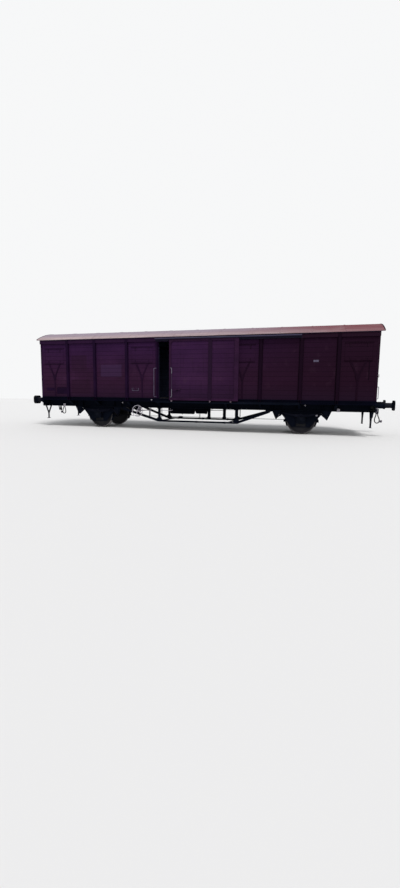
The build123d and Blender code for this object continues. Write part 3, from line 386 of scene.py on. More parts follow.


# Partly painted shade: the body's maroon paints, here, in door_paint and below, are darker and more violet
# than its brown-red paint, the cool tint of its sunless side
materials = {
    "brown_planks": painted_boards("side_boards", (35, 13, 33), (42, 17, 41), (50, 24, 50), (42, 18, 65),
                                   colour_rectangles=WALL_PATCHES),
    "brown_steel": painted_steel("maroon_steel", (39, 16, 44), (30, 12, 36), (54, 28, 34), 0.72,
                                 far=(25, 5, 19)),
    "roof_sheet": roof_paint(),
    # The track's hood: its dark colour is painted shade, the hood lying in the roof's shadow, and its pale
    # top is painted highlight
    "pale_track": painted_steel("track_shade_and_highlight", (34, 29, 46), (22, 19, 34), (62, 48, 54), 0.66,
                                dust_and_highlight=(126, 120, 128), colour_rectangles=HOOD_HIGHLIGHT),
    # Partly painted shade: the near-black paints under the wagon carry a blue cast, the cool tint of the
    # shade beneath it
    "dark_steel": painted_steel("underframe_paint", (10, 14, 25), (5, 8, 17), (30, 27, 31), 0.69,
                                specular=0.02, dust_and_highlight=DUST),
    "deck_boards": deck_boards(),
    "wheel_steel": wheel_steel(),
    "cast_parts": painted_steel("cast_parts", (12, 15, 24), (6, 9, 17), (32, 29, 34), 0.69, 2.0, 0.03, DUST),
    "spring_steel": painted_steel("spring_steel", (16, 18, 30), (8, 10, 20), (40, 32, 34), 0.65, 2.0,
                                  0.03, DUST),
    "buffer_steel": painted_steel("buffer_steel", (21, 22, 31), (10, 11, 18), (46, 36, 38), 0.67, 2.0,
                                  dust_and_highlight=(38, 36, 43)),
    "pale_metal": painted_steel("pale_metal", (128, 124, 134), (84, 79, 90), (84, 60, 54), 0.68, 2.0),
    "hose_rubber": rubber(),
}
# Partly painted shade: the door and body steels below are darkened and tinted violet like the shaded side
door_boards = painted_boards("door_boards", (39, 17, 45), (47, 21, 52), (56, 29, 58), (42, 19, 54), 0.06)
door_steel = {"door_a": door_paint("door_a", DOOR_RIB), "door_b": door_paint("door_b", DOOR_RIB - DOOR_OPEN)}
# Partly painted shade: the posts' paint is darker than the boards, standing in also for the shade along the
# proud posts
post_steel = painted_steel("post_steel", (28, 10, 36), (18, 6, 25), (44, 23, 30), 0.73, specular=0.03,
                           far=(17, 3, 14))
# Partly painted shade: the sill's near-black paint has a blue cast, the cool tint of the shade under the
# body
sill_steel = painted_steel("sill_steel", (11, 12, 29), (6, 8, 20), (32, 24, 31), 0.71, specular=0.02)
# Painted shade: slate blue on the inner battens, to match the painted shade on the walls' inner faces
inside_shade_boards = painted_steel("inside_shade_boards", (60, 66, 90), (46, 51, 74), (60, 60, 78), 0.70)
bright_metal = painted_steel("bright_metal", (186, 182, 190), (136, 131, 140), (104, 80, 70), 0.72, 2.0)
dull_metal = painted_steel("dull_metal", (98, 92, 110), (66, 60, 78), (74, 54, 56), 0.68, 2.0)
brace_steel = painted_steel("brace_steel", (34, 13, 37), (25, 9, 29), (46, 24, 30), 0.73, specular=0.03,
                            far=(20, 4, 16))
roller_paint = painted_steel("roller_paint", (172, 154, 164), (126, 110, 120), (96, 70, 66), 0.72, 2.0)
bar_paint = rubbed_bar()

slot_of = {row["node"]: row["material_slot"] for row in frame["record"]["subparts"]}
finer = {"side_sills": sill_steel, "side_posts": post_steel, "wall_braces": brace_steel,
         "handwheel": bright_metal, "handrails": dull_metal}
for door, steel in door_steel.items():
    finer |= {f"{door}_planks": door_boards, f"{door}_frame": steel, f"{door}_rollers": roller_paint,
              f"{door}_handle": bar_paint}
for name, obj in nodes.items():
    obj.data.materials.clear()
    obj.data.materials.append(finer.get(name, materials[slot_of[name]]))


# Mesh helpers

# Rivets, screws and bolt heads: radius and height
PIN = (5, 3)
SCREW = (6, 4)
FLAT_RIVET = (7, 4)
SMALL_RIVET = (7, 5)
TALL_RIVET = (7, 6)
RIVET = (8, 5)
BOLT_HEAD = (9, 6)
COACH_BOLT = (10, 6)
BIG_RIVET = (11, 8)
LIP_RIVET = (11, 9)
BIG_HEAD = (12, 8)


def spaced(start, end, count):
    return [start + (end - start) * i / (count - 1) for i in range(count)]


def turns(count, start=0.0):
    """The angles of one full turn in equal steps."""
    return [math.tau * (i + start) / count for i in range(count)]


def around(at, radius, angles):
    """Places on a circle round a point, in the plane of X and Z."""
    x, y, z = at
    return [(x + radius * math.cos(a), y, z + radius * math.sin(a)) for a in angles]


def grid(xs, y, zs):
    return [(x, y, z) for x in xs for z in zs]


def plank_rows(x, y):
    """A place in the middle of each plank, one over the other."""
    return [(x, y, FLOOR + PLANK * (i + 0.5)) for i in range(PLANKS)]


def rounded(points, radius, steps=4):
    """A path whose corners are rounded, for bent bars and pipes."""
    points = [Vector(p) for p in points]
    path = [points[0]]
    for a, b, c in zip(points, points[1:], points[2:]):
        cut = min(radius, (b - a).length * 0.45, (c - b).length * 0.45)
        start = b + (a - b).normalized() * cut
        end = b + (c - b).normalized() * cut
        for t in spaced(0, 1, steps + 1):
            path.append(start * (1 - t) ** 2 + b * 2 * t * (1 - t) + end * t ** 2)
    return path + [points[-1]]


class Piece:
    """A mesh in the making, in millimetres."""

    def __init__(self):
        self.bm = bmesh.new()

    def box(self, x0, x1, y0, y1, z0, z1, bevel=2):
        """A block between pairs of planes, given in any order, with its edges taken off."""
        verts = bmesh.ops.create_cube(self.bm, size=1.0)["verts"]
        m = Matrix.Translation(((x0 + x1) / 2, (y0 + y1) / 2, (z0 + z1) / 2))
        m = m @ Matrix.Diagonal((abs(x1 - x0), abs(y1 - y0), abs(z1 - z0), 1))
        self.move(m, verts)
        edges = list({e for v in verts for e in v.link_edges})
        bmesh.ops.bevel(self.bm, geom=edges, offset=bevel, segments=1, affect="EDGES", clamp_overlap=True)

    def strip(self, x, half, *planes):
        """A block that reaches as far to both sides of x."""
        self.box(x - half, x + half, *planes)

    def move(self, matrix, verts=None):
        bmesh.ops.transform(self.bm, matrix=matrix, verts=verts or self.bm.verts)

    def skin(self, rows):
        """Faces between rows of points, each a closed ring, and over the first and the last."""
        rows = [[self.bm.verts.new(point) for point in row] for row in rows]
        for a, b in zip(rows, rows[1:]):
            for i in range(len(a)):
                j = (i + 1) % len(a)
                self.bm.faces.new((a[i], a[j], b[j], b[i]))
        self.bm.faces.new(rows[0][::-1])
        self.bm.faces.new(rows[-1])
        return rows

    def plate(self, outline, y0, y1):
        """A flat plate cut to (x, z) points, between two planes across the wagon. Gives its corners."""
        near, far = self.skin([[(x, y, z) for x, z in outline] for y in (y0, y1)])
        return near + far

    def lathe(self, at, axis, rings, segments=16):
        """A turned shape from (radius, distance) rings along an axis, closed at both ends."""
        m = Matrix.Translation(at) @ Vector(axis).to_track_quat("Z", "Y").to_matrix().to_4x4()
        rows = []
        for radius, far in rings:
            ring = [(radius * math.cos(a), radius * math.sin(a), far) for a in turns(segments, 0.5)]
            rows.append([m @ Vector(point) for point in ring])
        self.skin(rows)

    def domes(self, places, size, axis=OUT, segments=8):
        """Rivet, screw or coach bolt heads seated on a face."""
        radius, height = size
        rings = ((radius, -1), (radius, height * 0.1), (radius * 0.86, height * 0.6),
                 (radius * 0.45, height))
        for at in places:
            self.lathe(at, axis, rings, segments)

    def bolts(self, places, width, height, axis=OUT):
        """Hexagon nuts on washers, each with its bolt's end showing."""
        washer = ((0.72 * width, -1), (0.72 * width, 0.18 * height))
        nut = ((0.55 * width, 0), (0.55 * width, 0.75 * height), (0.46 * width, 0.82 * height))
        end = ((0.28 * width, 0), (0.28 * width, 1.1 * height), (0.2 * width, 1.2 * height))
        for at in places:
            self.lathe(at, axis, washer, 12)
            self.lathe(at, axis, nut, 6)
            self.lathe(at, axis, end, 8)

    def tube(self, points, radius, segments=10):
        """A round bar through a list of points, capped at both ends."""
        points = [Vector(p) for p in points]
        rows = []
        normal = None
        for i, p in enumerate(points):
            way = (points[min(i + 1, len(points) - 1)] - points[max(i - 1, 0)]).normalized()
            normal = way.orthogonal() if normal is None else normal - way * normal.dot(way)
            normal.normalize()
            other = way.cross(normal)
            rows.append([p + (normal * math.cos(a) + other * math.sin(a)) * radius for a in turns(segments)])
        self.skin(rows)

    def finish(self, name, slot, body="wagon", smooth=False, material=None):
        """Sets the piece down in metres, on the body that it rides on."""
        self.move(Matrix.Scale(MM, 4))
        bmesh.ops.recalc_face_normals(self.bm, faces=self.bm.faces)
        mesh = bpy.data.meshes.new(name)
        self.bm.to_mesh(mesh)
        self.bm.free()
        for p in mesh.polygons:
            p.use_smooth = smooth
        mesh.materials.append(material or materials[slot])
        obj = place(name, mesh)
        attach(obj, body)


def whole(name, slot, fill, **looks):
    """A piece that fill draws in full."""
    p = Piece()
    fill(p)
    p.finish(name, slot, **looks)


def both_sides(name, slot, fill, **looks):
    """A piece that fill draws for side a or the front, with a copy turned half a turn about Z."""
    p = Piece()
    fill(p)
    copy = bmesh.ops.duplicate(p.bm, geom=[*p.bm.verts, *p.bm.edges, *p.bm.faces])["geom"]
    p.move(HALF_TURN, [g for g in copy if isinstance(g, bmesh.types.BMVert)])
    p.finish(name, slot, **looks)


def each_door(name, slot, fill, paints):
    """A piece on door a and the same on door b, which stands half a turn round and shut."""
    to_b = Matrix.Translation((DOOR_OPEN, 0, 0)) @ HALF_TURN
    for door, turn in (("door_a", Matrix.Identity(4)), ("door_b", to_b)):
        p = Piece()
        fill(p)
        p.move(turn)
        p.finish(f"{door}_{name}", slot, door, material=paints.get(door))


# Floor and light

def studio():
    """A plain pale floor, an even sky and two soft suns."""
    bm = bmesh.new()
    bmesh.ops.create_grid(bm, x_segments=1, y_segments=1, size=60)
    mesh = bpy.data.meshes.new("floor")
    bm.to_mesh(mesh)
    bm.free()
    obj = place("floor", mesh)
    m = bpy.data.materials.new("floor")
    m.use_nodes = True
    b = m.node_tree.nodes["Principled BSDF"]
    b.inputs["Base Color"].default_value = (0.78, 0.77, 0.76, 1)
    b.inputs["Roughness"].default_value = 0.9
    mesh.materials.append(m)
    world = bpy.data.worlds.new("world")
    bpy.context.scene.world = world
    world.use_nodes = True
    t = world.node_tree
    t.nodes.clear()
    kinds = ("OutputWorld", "Background", "Background", "LightPath", "MixShader")
    out, show, light, path, mix = (t.nodes.new("ShaderNode" + kind) for kind in kinds)
    for n, colour, strength in ((show, (0.93, 0.935, 0.94, 1), 1.0), (light, (0.92, 0.95, 1.0, 1), 0.42)):
        n.inputs[0].default_value = colour
        n.inputs[1].default_value = strength
    seen = path.outputs["Is Camera Ray"]
    for other in ("Is Glossy Ray", "Is Transmission Ray"):
        either = t.nodes.new("ShaderNodeMath")
        either.operation = "MAXIMUM"
        t.links.new(seen, either.inputs[0])
        t.links.new(path.outputs[other], either.inputs[1])
        seen = either.outputs[0]
    t.links.new(seen, mix.inputs[0])
    t.links.new(light.outputs[0], mix.inputs[1])
    t.links.new(show.outputs[0], mix.inputs[2])
    t.links.new(mix.outputs[0], out.inputs[0])
    for name, energy, angle, rotation in (("key", 2.3, 0.35, (0.55, 0.25, 0.2)),
                                          ("fill", 0.7, 0.6, (1.15, 0, 0.25))):
        data = bpy.data.lights.new(name, "SUN")
        data.energy = energy
        data.angle = angle
        place(name, data).rotation_euler = rotation


# Hoses: the routes of part.py's tubes, as (x, z) from where each leaves its end cock's block

HOSE_PLACE = (HALF + 175, PIPE_Y, RAIL + 765)
HOSE_ROUTE = ((-24, 0), (-24, -55), (-68, -185), (-62, -300), (20, -352), (92, -290), (86, -180), (24, -60),
              (24, 0))


def hose(name, turn):
    points = [turn @ (Vector(HOSE_PLACE) + Vector((x, 0, z))) * MM for x, z in HOSE_ROUTE]
    data = bpy.data.curves.new(name, "CURVE")
    data.dimensions = "3D"
    spline = data.splines.new("NURBS")
    spline.points.add(len(points) - 1)
    for p, point in zip(spline.points, points):
        p.co = (*point, 1)
    spline.order_u = 3
    spline.use_endpoint_u = True
    data.resolution_u = 16
    data.bevel_depth = 0.017
    data.bevel_resolution = 5
    data.use_fill_caps = True
    data.materials.append(materials["hose_rubber"])
    obj = place(name, data)
    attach(obj, "wagon")
    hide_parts(name.replace("air_", ""))


def hose_fittings(p):
    """Clips at both ends of the hose, and the coupling head hung up at its lowest bend."""
    for x in (6541, 6589):
        p.lathe((x, PIPE_Y, 792), DOWN, ((20, 0), (24, 3), (24, 20), (20, 23)), 14)
    head = ((22, 0), (28, 8), (28, 40), (40, 52), (44, 85), (30, 100))
    p.lathe((6640, PIPE_Y, 500), (0.96, 0, 0.25), head, 18)
    p.box(6690, 6745, -446, -396, 500, 560, 8)


bpy.context.scene.view_settings.view_transform = "Standard"
set_camera()
studio()
hose("air_hose_front", Matrix.Identity(4))
hose("air_hose_rear", HALF_TURN)
both_sides("hose_fittings", "pale_metal", hose_fittings)


# Body shell

def post_details(p):
    """Coach bolts through each plank, plates at the posts' heads and stiffeners in the sill under them."""
    for side in (-1, 1):
        for x in POSTS:
            for off in (-63.5, 63.5):
                p.domes(plank_rows(side * x + off, -FLANGE), COACH_BOLT)
            for off in (-36, 36):
                p.strip(side * x + off, 5, -1394, -1315, 1105, 1219, 1)
        for x in (DOOR_POST - 48.5, DOOR_POST + 48.5, 6330):
            p.domes(plank_rows(side * x, -FLANGE), COACH_BOLT)
        p.domes(plank_rows(side * HALF, -1300), COACH_BOLT, (side, 0, 0))
    for x in (-5140, -3931, -2560, 5140):
        p.strip(x, 62, -1403.5, -1395, 3321, 3474)
        p.domes(grid((x - 40, x + 40), -1403.5, (3352, 3430)), RIVET)
    p.box(6090, 6118, -1352, -1339, 1920, 2560)


def sill_details(p):
    """Bolts along the sill's web, and rivets along the cantrail where no hood covers it."""
    p.domes([(x, -1315.5, 1162) for x in spaced(-6250, 6250, 36)], BIG_HEAD)
    places = spaced(-6300, -1450, 30) + spaced(4020, 6300, 15)
    p.domes(grid(places, -1396, (3352, 3428)), RIVET)


def vent_details(p):
    """Hinges at each ventilator's head, screws round its frame, two turn buttons and a cross bar."""
    for x in VENTS:
        for hinge in (x - 270, x + 270):
            p.strip(hinge, 22, -1353, -1341, 3000, 3125)
            p.tube([(hinge - 30, -1355, 3104), (hinge + 30, -1355, 3104)], 9, 8)
            p.domes([(hinge, -1353, z) for z in (3020, 3065)], SCREW)
            p.strip(hinge, 12, -1356, -1341, 2588, 2655)
            p.domes([(hinge, -1356, 2622)], BOLT_HEAD)
        p.strip(x, 450, -1368, -1339, 3130, 3142, 3)
        screws = [(a, z) for a in spaced(x - 420, x + 420, 6) for z in (2590, 3116)]
        screws += [(a, z) for a in (x - 428, x + 428) for z in spaced(2660, 3050, 4)]
        p.domes([(a, -FLANGE, z) for a, z in screws], SCREW)


def brace_details(p):
    """Bolts down the stem and along both arms of each brace, and the gusset at its fork."""
    gusset = ((-40, 1900), (40, 1900), (88, 2110), (0, 2085), (-88, 2110))
    for x in VENTS:
        p.domes([(x, -1354, FLOOR + 80 + PLANK * i) for i in range(5)], BOLT_HEAD)
        p.plate([(x + a, z) for a, z in gusset], -1360, -1353)
        p.domes([(x, -1360, z) for z in (1930, 2030)], RIVET)
        for reach in (-270, 270):
            p.domes([(x + reach * t, -1354, 1995 + 590 * t) for t in (0.3, 0.55, 0.8)], BOLT_HEAD)


def plate_details(p):
    """A blank plate by the left end, and the dark board for chalk beside it under its batten."""
    p.box(-5660, -5220, -1352, -1339, 1592, 1612, 3)
    for x0, x1, z0, z1 in ((-6160, -5760, 1470, 1585), (-5690, -5180, 1345, 1575)):
        p.box(x0, x1, -1346, -1339, z0, z1, 3)
        p.domes(grid((x0 + 18, x1 - 18), -1346, (z0 + 15, z1 - 15)), PIN)


def pale_plates(p):
    """The label holder's open frame with its wire clips, and a small blank plate by the right end."""
    x0, x1, z0, z1 = -2350, -2070, 1490, 1600
    for planes in ((x0, x1, z0, z0 + 14), (x0, x0 + 14, z0, z1), (x1 - 14, x1, z0, z1)):
        p.box(*planes[:2], -1354, -1339, *planes[2:])
    for x in (x0 + 70, x1 - 70):
        p.tube(rounded([(x, -1341, z1 + 12), (x, -1358, z1), (x, -1358, z0 + 10)], 10), 2.5, 6)
    p.box(4335, 4505, -1345, -1339, 2515, 2585, 3)
    p.domes(grid((4350, 4490), -1345, (2527, 2573)), PIN)


def end_details(p):
    """Bolts in the end posts' flanges, and the lamp irons."""
    for y in (-455, -405, 405, 455):
        p.domes(plank_rows(6392, y), BOLT_HEAD, FRONT)
    for y in (-1160, 1160):
        p.box(6381, 6389, y - 35, y + 35, 1960, 2160, 1)
        p.box(6388, 6440, y - 30, y + 30, 2012, 2020, 1)
        p.box(6432, 6440, y - 30, y + 30, 2012, 2110, 1)
        p.domes([(6389, y, z) for z in (1980, 2130)], SMALL_RIVET, FRONT)


def inside_details(p):
    """Upright battens behind the posts, with their screws, and two boards along each wall."""
    for x in (*POSTS, DOOR_POST):
        for side in (-1, 1):
            p.strip(side * x, 40, -1307, -1272, 1230, 3310, 4)
            rows = plank_rows(side * x, -1272)
            p.domes([(x + 20 * (-1) ** i, y, z) for i, (x, y, z) in enumerate(rows)], FLAT_RIVET, INWARD)
    for x0, x1 in ((-6340, -1270), (1270, 6340)):
        for z in (1780, 2420):
            p.box(x0, x1, -1290, -1272, z, z + 120, 3)


# Roof

SEAMS = spaced(-5325, 5325, 11)
SEAM_LIFT = 6
ROOF_RADIUS = (EAVE ** 2 + ROOF_RISE ** 2) / (2 * ROOF_RISE)


def roof_way(y):
    """The way out of the roof's arc at a distance from the middle."""
    return Vector((0, y, math.sqrt(ROOF_RADIUS ** 2 - y ** 2))).normalized()


def roof_point(x, y, lift):
    """A point over the roof's arc, lifted off the skin."""
    return roof_way(y) * (ROOF_RADIUS + lift) + Vector((x, 0, EAVE_Z + ROOF_RISE - ROOF_RADIUS))


def roof_band(p, x0, x1, bevel, depth=2):
    """A strip that follows the roof's arc from eave to eave, with sloping shoulders."""
    top = SEAM_LIFT
    section = ((x0, -depth), (x0, 0), (x0 + bevel, top), (x1 - bevel, top), (x1, 0), (x1, -depth))
    arc = spaced(-EAVE, EAVE, 33)
    p.skin([[roof_point(x, y, lift) for x, lift in section] for y in arc])


def roof_seams(p):
    """Lapped seams between the roof's sheets, and the rolled edges at the eaves."""
    for x in SEAMS:
        roof_band(p, x - 22, x + 22, 6)
    for y in (-EAVE, EAVE):
        p.tube([(-ROOF_END, y, EAVE_Z - 27), (ROOF_END, y, EAVE_Z - 27)], 9, 8)


def roof_end_trim(p):
    """The trim over the roof's front edge."""
    roof_band(p, ROOF_END - 30, ROOF_END + 6, 4, 34)


def roof_rivets(p):
    """Two rows of rivets along each seam."""
    for x in SEAMS:
        for off in (-12, 12):
            for y in spaced(-1380, 1380, 24):
                p.domes([roof_point(x + off, y, SEAM_LIFT)], SCREW, roof_way(y), 6)


both_sides("post_bolts", "brown_steel", post_details, material=post_steel)
both_sides("sill_bolts", "brown_steel", sill_details, material=sill_steel)
both_sides("vent_fittings", "brown_steel", vent_details)
both_sides("brace_bolts", "brown_steel", brace_details, material=brace_steel)
both_sides("blank_plates", "brown_steel", plate_details, material=post_steel)
both_sides("label_holders", "pale_metal", pale_plates, material=dull_metal)
both_sides("inside_battens", "brown_planks", inside_details, material=inside_shade_boards)
both_sides("end_fittings", "brown_steel", end_details)
whole("roof_seams", "roof_sheet", roof_seams)
both_sides("roof_end_trims", "brown_steel", roof_end_trim)
whole("roof_rivets", "roof_sheet", roof_rivets)


# Doors and their rails

def door_bolts(p):
    """Rivets round the door's frame and down its rib, with corner plates."""
    upright = (DOOR_X0 + 35, DOOR_RIB - 45, DOOR_RIB + 45, DOOR_X1 - 120, DOOR_X1 - 35)
    across = spaced(DOOR_X0 + 120, DOOR_RIB - 140, 7) + spaced(DOOR_RIB + 140, DOOR_X1 - 200, 4)
    rivets = [(x, z) for x in upright for z in spaced(1270, 3270, 13)]
    rivets += [(x, z) for x in across for z in (1200, 3345)]
    p.domes([(x, -DOOR_FACE, z) for x, z in rivets], BOLT_HEAD)
    outline = ((6, 0), (170, 0), (150, 50), (60, 150), (6, 160))
    for x, inward in ((DOOR_X0, 1), (DOOR_X1, -1)):
        for z, up in ((1160, 1), (3365, -1)):
            corners = [(x + inward * a, z + up * b) for a, b in outline]
            p.plate(corners, -DOOR_FACE - 5, -DOOR_FACE + 1)
            spots = [(x + inward * a, z + up * b) for a, b in ((30, 30), (120, 25), (35, 120))]
            p.domes([(a, -DOOR_FACE - 5, b) for a, b in spots], RIVET)


def door_battens(p):
    """Upright battens on the door's inner face, seen through the other doorway."""
    for x in (-400, 100, 550, 1200):
        p.strip(x, 45, -1418.5, -1402, 1250, 3300, 3)


def door_lock(p):
    """The latch's pivot, its hand grip, the keeper with its hasp and a safety chain in a shallow curve."""
    p.lathe((-745, -1499, 1558), OUT, ((20, -2), (20, 6), (12, 11)), 14)
    p.lathe((-366, -1493, 1558), FRONT, ((10, 0), (15, 12), (15, 30), (9, 38)), 12)
    p.box(-500, -440, -1494, -1444, 1520, 1545, 3)
    hasp = [(x, y, 1532) for x, y in ((-500, -1497), (-500, -1510), (-440, -1510), (-440, -1497))]
    p.tube(rounded(hasp, 8), 4, 6)
    chain = [Vector((-735 + 270 * t, -1500 + 4 * (t > 0), 1535 - 110 * math.sin(math.pi * t)))
             for t in spaced(0, 1, 15)]
    for i, (start, end) in enumerate(zip(chain, chain[1:])):
        way = (end - start).normalized()
        lean = Vector(INWARD) if i % 2 else way.cross(Vector(INWARD))
        middle = (start + end) / 2
        p.tube([middle + way * 13.5 * math.cos(a) + lean * 6 * math.sin(a) for a in (*turns(8), 0)], 2.2, 5)


def door_feet(p):
    """Axle bolts through the rollers, guide shoes beside them and the buffers on the door's edges."""
    for x in (-710, 765, 1540):
        p.bolts([(x, -1461, 1128)], 22, 14)
        p.strip(x, 45, -1484, -1476, 1159, 1222)
        p.domes([(x + a, -1484, 1192) for a in (-30, 30)], SMALL_RIVET)
    for z in (1750, 2850):
        p.lathe((DOOR_X1 - 1, -1446, z), FRONT, ((22, 0), (22, 8), (14, 12)), 12)


def rail_details(p):
    """Stops at both ends of the lower rail, its bolts, and the brackets under it."""
    for x in (-1335, 3915):
        p.strip(x, 14, -1462, -1396, 1066, 1112, 3)
    p.bolts([(x, -1404, 1092) for x in spaced(-1200, 3800, 11)], 20, 12)
    for x in spaced(-950, 3550, 7):
        p.strip(x, 4, -1446, -1398, 1030, 1058.5, 1)


def hood_details(p):
    """Rivets and short ribs along the track's hood, and the closed ends of its channel."""
    p.domes([(x, -1505, 3401) for x in spaced(-1280, 3860, 24)], FLAT_RIVET)
    for x in spaced(-1100, 3700, 9):
        p.strip(x, 5, -1500, -1402, 3429, 3446)
    for x in (-1344, 3924):
        p.strip(x, 5, -1499, -1403, 3376, 3424, 1)


each_door("bolts", "brown_steel", door_bolts, door_steel)
each_door("battens", "brown_planks", door_battens, {"door_a": door_boards, "door_b": door_boards})
each_door("lock", "dark_steel", door_lock, {})
each_door("feet", "brown_steel", door_feet, door_steel)
both_sides("lower_rail_fittings", "dark_steel", rail_details)
both_sides("hood_ribs", "pale_track", hood_details)


# Underframe

def sole_details(p):
    """Bolts through the sole bar for guards, hangers, brackets and bearers, and stiffeners in its web."""
    for side in (-1, 1):
        for axle in (-AXLE_X, AXLE_X):
            places = [(axle + side * x, z) for x in (160, 300, 440, 580, 700) for z in (885, 925)]
            p.bolts([(x, -SOLE_WEB, z) for x, z in places], 24, 14)
            spots = [(axle + side * x, -y, SOLE_LOW + 12) for x in (760, 980) for y in (975, 1035)]
            p.domes(spots, LIP_RIVET, UP)
            for x in (720, 1010):
                p.strip(axle + side * x, 6, -1044, -949, 857, 1167)
        for x in (*POSTS, DOOR_POST):
            p.bolts([(side * x + a, -SOLE_WEB, 1040) for a in (-30, 30)], 22, 12)
    for x in (0, 1650, -1650, 3406, -3406, 4594, -4594):
        p.domes([(x + 30, -SOLE_WEB, z) for z in (1020, 1090, 1150)], BIG_RIVET)


def truss_details(p):
    """Gussets with rivets at the truss's corners, bolts at its pads and clamps along the chord."""
    gusset = ((-130, 320), (30, 320), (130, 372), (120, 430), (43, 500), (-43, 500), (-130, 378))
    rivets = ((-105, 348), (-50, 348), (95, 398), (0, 470), (0, 410))
    for x, out in ((-1350, -1), (1680, 1)):
        for y in (-1054, -1002.5):
            p.plate([(x + out * a, z) for a, z in gusset], y, y + 8.5)
        p.bolts([(x + out * a, -1054, z) for a, z in rivets], 22, 12)
        p.strip(x, 85, -1052, -996, 826, 846.5)
        p.bolts([(x + a, -1024, 826) for a in (-65, 65)], 20, 12, DOWN)
    pad = ((2750, 846), (2960, 846), (2960, 815), (2860, 765), (2720, 745))
    for side in (-1, 1):
        p.plate([(side * x, z) for x, z in pad], -1054, -1045.5)
        p.bolts([(side * x, -1054, z) for x, z in ((2780, 800), (2850, 815), (2920, 825))], 20, 12)
    for x in spaced(-950, 1250, 3):
        p.strip(x, 30, -1052, -996, 309, 387, 3)
        p.domes([(x, -1052, z) for z in (330, 366)], SMALL_RIVET)


def pale_fittings(p):
    """Small light fittings: rope hooks, lashing eyes and the brake's release rod in its guides."""
    hook = ((-1052, 930), (-1075, 930), (-1082, 872), (-1060, 868), (-1058, 895))
    for x in (-5550, 5240):
        p.tube(rounded([(x, y, z) for y, z in hook], 12), 9, 8)
        p.strip(x, 48, -1056, -1046, 836, 952, 4)
        p.domes(grid((x - 36, x + 36), -1056, (850, 938)), SCREW)
    for at in ((4130, -950, 1040), (-2950, -950, 1030), (-1550, -1315.5, 1162)):
        p.lathe(at, OUT, ((30, 0), (30, 8), (20, 12), (15, 30), (8, 34)), 12)
    p.lathe((4530, -938, 700), OUT, ((36, 0), (36, 8), (24, 16), (10, 18)))
    rod = [(-1470, -1050, 775), (-1400, -1000, 752), (-860, -1000, 752), (-800, -1040, 780)]
    p.tube(rounded(rod, 40), 9, 8)
    for x in (-1360, -900):
        p.tube([(x, -1000, 846), (x, -1000, 760)], 6, 6)
        p.lathe((x - 8, -1000, 752), FRONT, ((16, 0), (16, 16)), 10)


def bracket_details(p):
    """Bolts under the brackets that carry the posts' feet."""
    for x in (*POSTS, DOOR_POST):
        for side in (-1, 1):
            p.bolts([(side * x + a, -1392, 1116) for a in (-30, 30)], 18, 10, DOWN)


both_sides("sole_bar_bolts", "dark_steel", sole_details)
both_sides("truss_gussets", "dark_steel", truss_details)
both_sides("pale_fittings", "pale_metal", pale_fittings, material=bright_metal)
both_sides("bracket_bolts", "dark_steel", bracket_details)


# Running gear

def axle_box_covers(p):
    """On each axle box: the cover's ring, bolts and cap, ribs, the filler, and liners in the guard."""
    for sx, sy in PAIRS:
        x = sx * AXLE_X
        cover = (x, sy * 1127, AXLE_Z)
        out = (0, sy, 0)
        p.lathe((x, sy * 1105, AXLE_Z), out, ((112, -2), (112, 10), (104, 14)), 28)
        p.lathe(cover, out, ((62, -2), (60, 10), (44, 20), (20, 24)), 24)
        p.bolts(around(cover, 80, turns(6, 0.5)), 20, 12, out)
        for side in (-1, 1):
            p.strip(x + side * 128, 6, sy * 1104, sy * 1122, 440, 600, 3)
            p.strip(x + side * 159, 10, sy * 905, sy * 960, 400, 620, 3)
            p.domes([(x + side * 159, sy * 960, z) for z in (430, 510, 590)], SCREW, out)
        p.lathe((x + 95, sy * 1104, 592), out, ((18, 0), (18, 14), (10, 20)), 10)
        p.strip(x, 65, sy * 900, sy * 1120, 620.5, 633.5, 3)


def spring_clips(p):
    """Clips round the spring leaves, the buckle's nuts, eye ends and shackle nuts, at all four springs."""
    for sx, sy in PAIRS:
        axle = sx * AXLE_X
        for side in (-1, 1):
            x = axle + side * 360
            p.strip(x, 19, sy * 954, sy * 1066, 672, 741, 4)
            p.bolts([(x, sy * y, 741) for y in (972, 1048)], 20, 13, UP)
            low = axle + side * 868
            for at in ((axle + side * 640, sy * 1082, 766), (low, sy * 1082, 573)):
                p.lathe(at, (0, sy, 0), ((14, 0), (14, 12), (9, 16)), 10)
            rib = ((low - 8, 620), (low + 8, 620), (low + 16, 838), (low - 16, 838))
            p.plate(rib, sy * 1059.5, sy * 1068)
        p.strip(axle, 60, sy * 952, sy * 1068, 660, 706, 4)
        p.lathe((axle, sy * 1010, 733), UP, ((26, 0), (26, 18), (12, 26)), 6)


def guard_lips(p):
    """Lips along the axle guards' outer edges, bolts in their feet and rivets in their legs."""
    for sx, sy in PAIRS:
        out = (0, sy, 0)
        for side in (-1, 1):
            x = sx * AXLE_X
            p.bolts([(x + side * 285, sy * 960, 275)], 24, 16, out)
            edge = ((331, 300), (345, 300), (755, 800), (735, 800))
            p.plate([(x + side * a, z) for a, z in edge], sy * 926, sy * 950)
            rivets = ((250, 360), (300, 480), (420, 620))
            p.domes([(x + side * a, sy * 938, z) for a, z in rivets], BIG_HEAD, out)


def wheel_rings(body, x):
    """The tyres' retaining rings, the hubs' collars and the balance marks of one wheelset."""
    p = Piece()
    for side in (-1, 1):
        for radius, y, thickness in ((455, 815, 6), (118, 860, 10)):
            p.tube(around((x, side * y, AXLE_Z), radius, (*turns(48), 0)), thickness, 6)
        for at in around((x, side * 766, AXLE_Z), 300, (0.6, math.pi + 0.6)):
            p.lathe(at, (0, side, 0), ((30, -2), (30, 6), (22, 10)), 14)
    p.finish(f"{body}_rings", "wheel_steel", body)


whole("axle_box_covers", "cast_parts", axle_box_covers)
whole("spring_clips", "spring_steel", spring_clips)
whole("guard_lips", "dark_steel", guard_lips)
wheel_rings("wheelset_front", AXLE_X)
wheel_rings("wheelset_rear", -AXLE_X)


# Ends

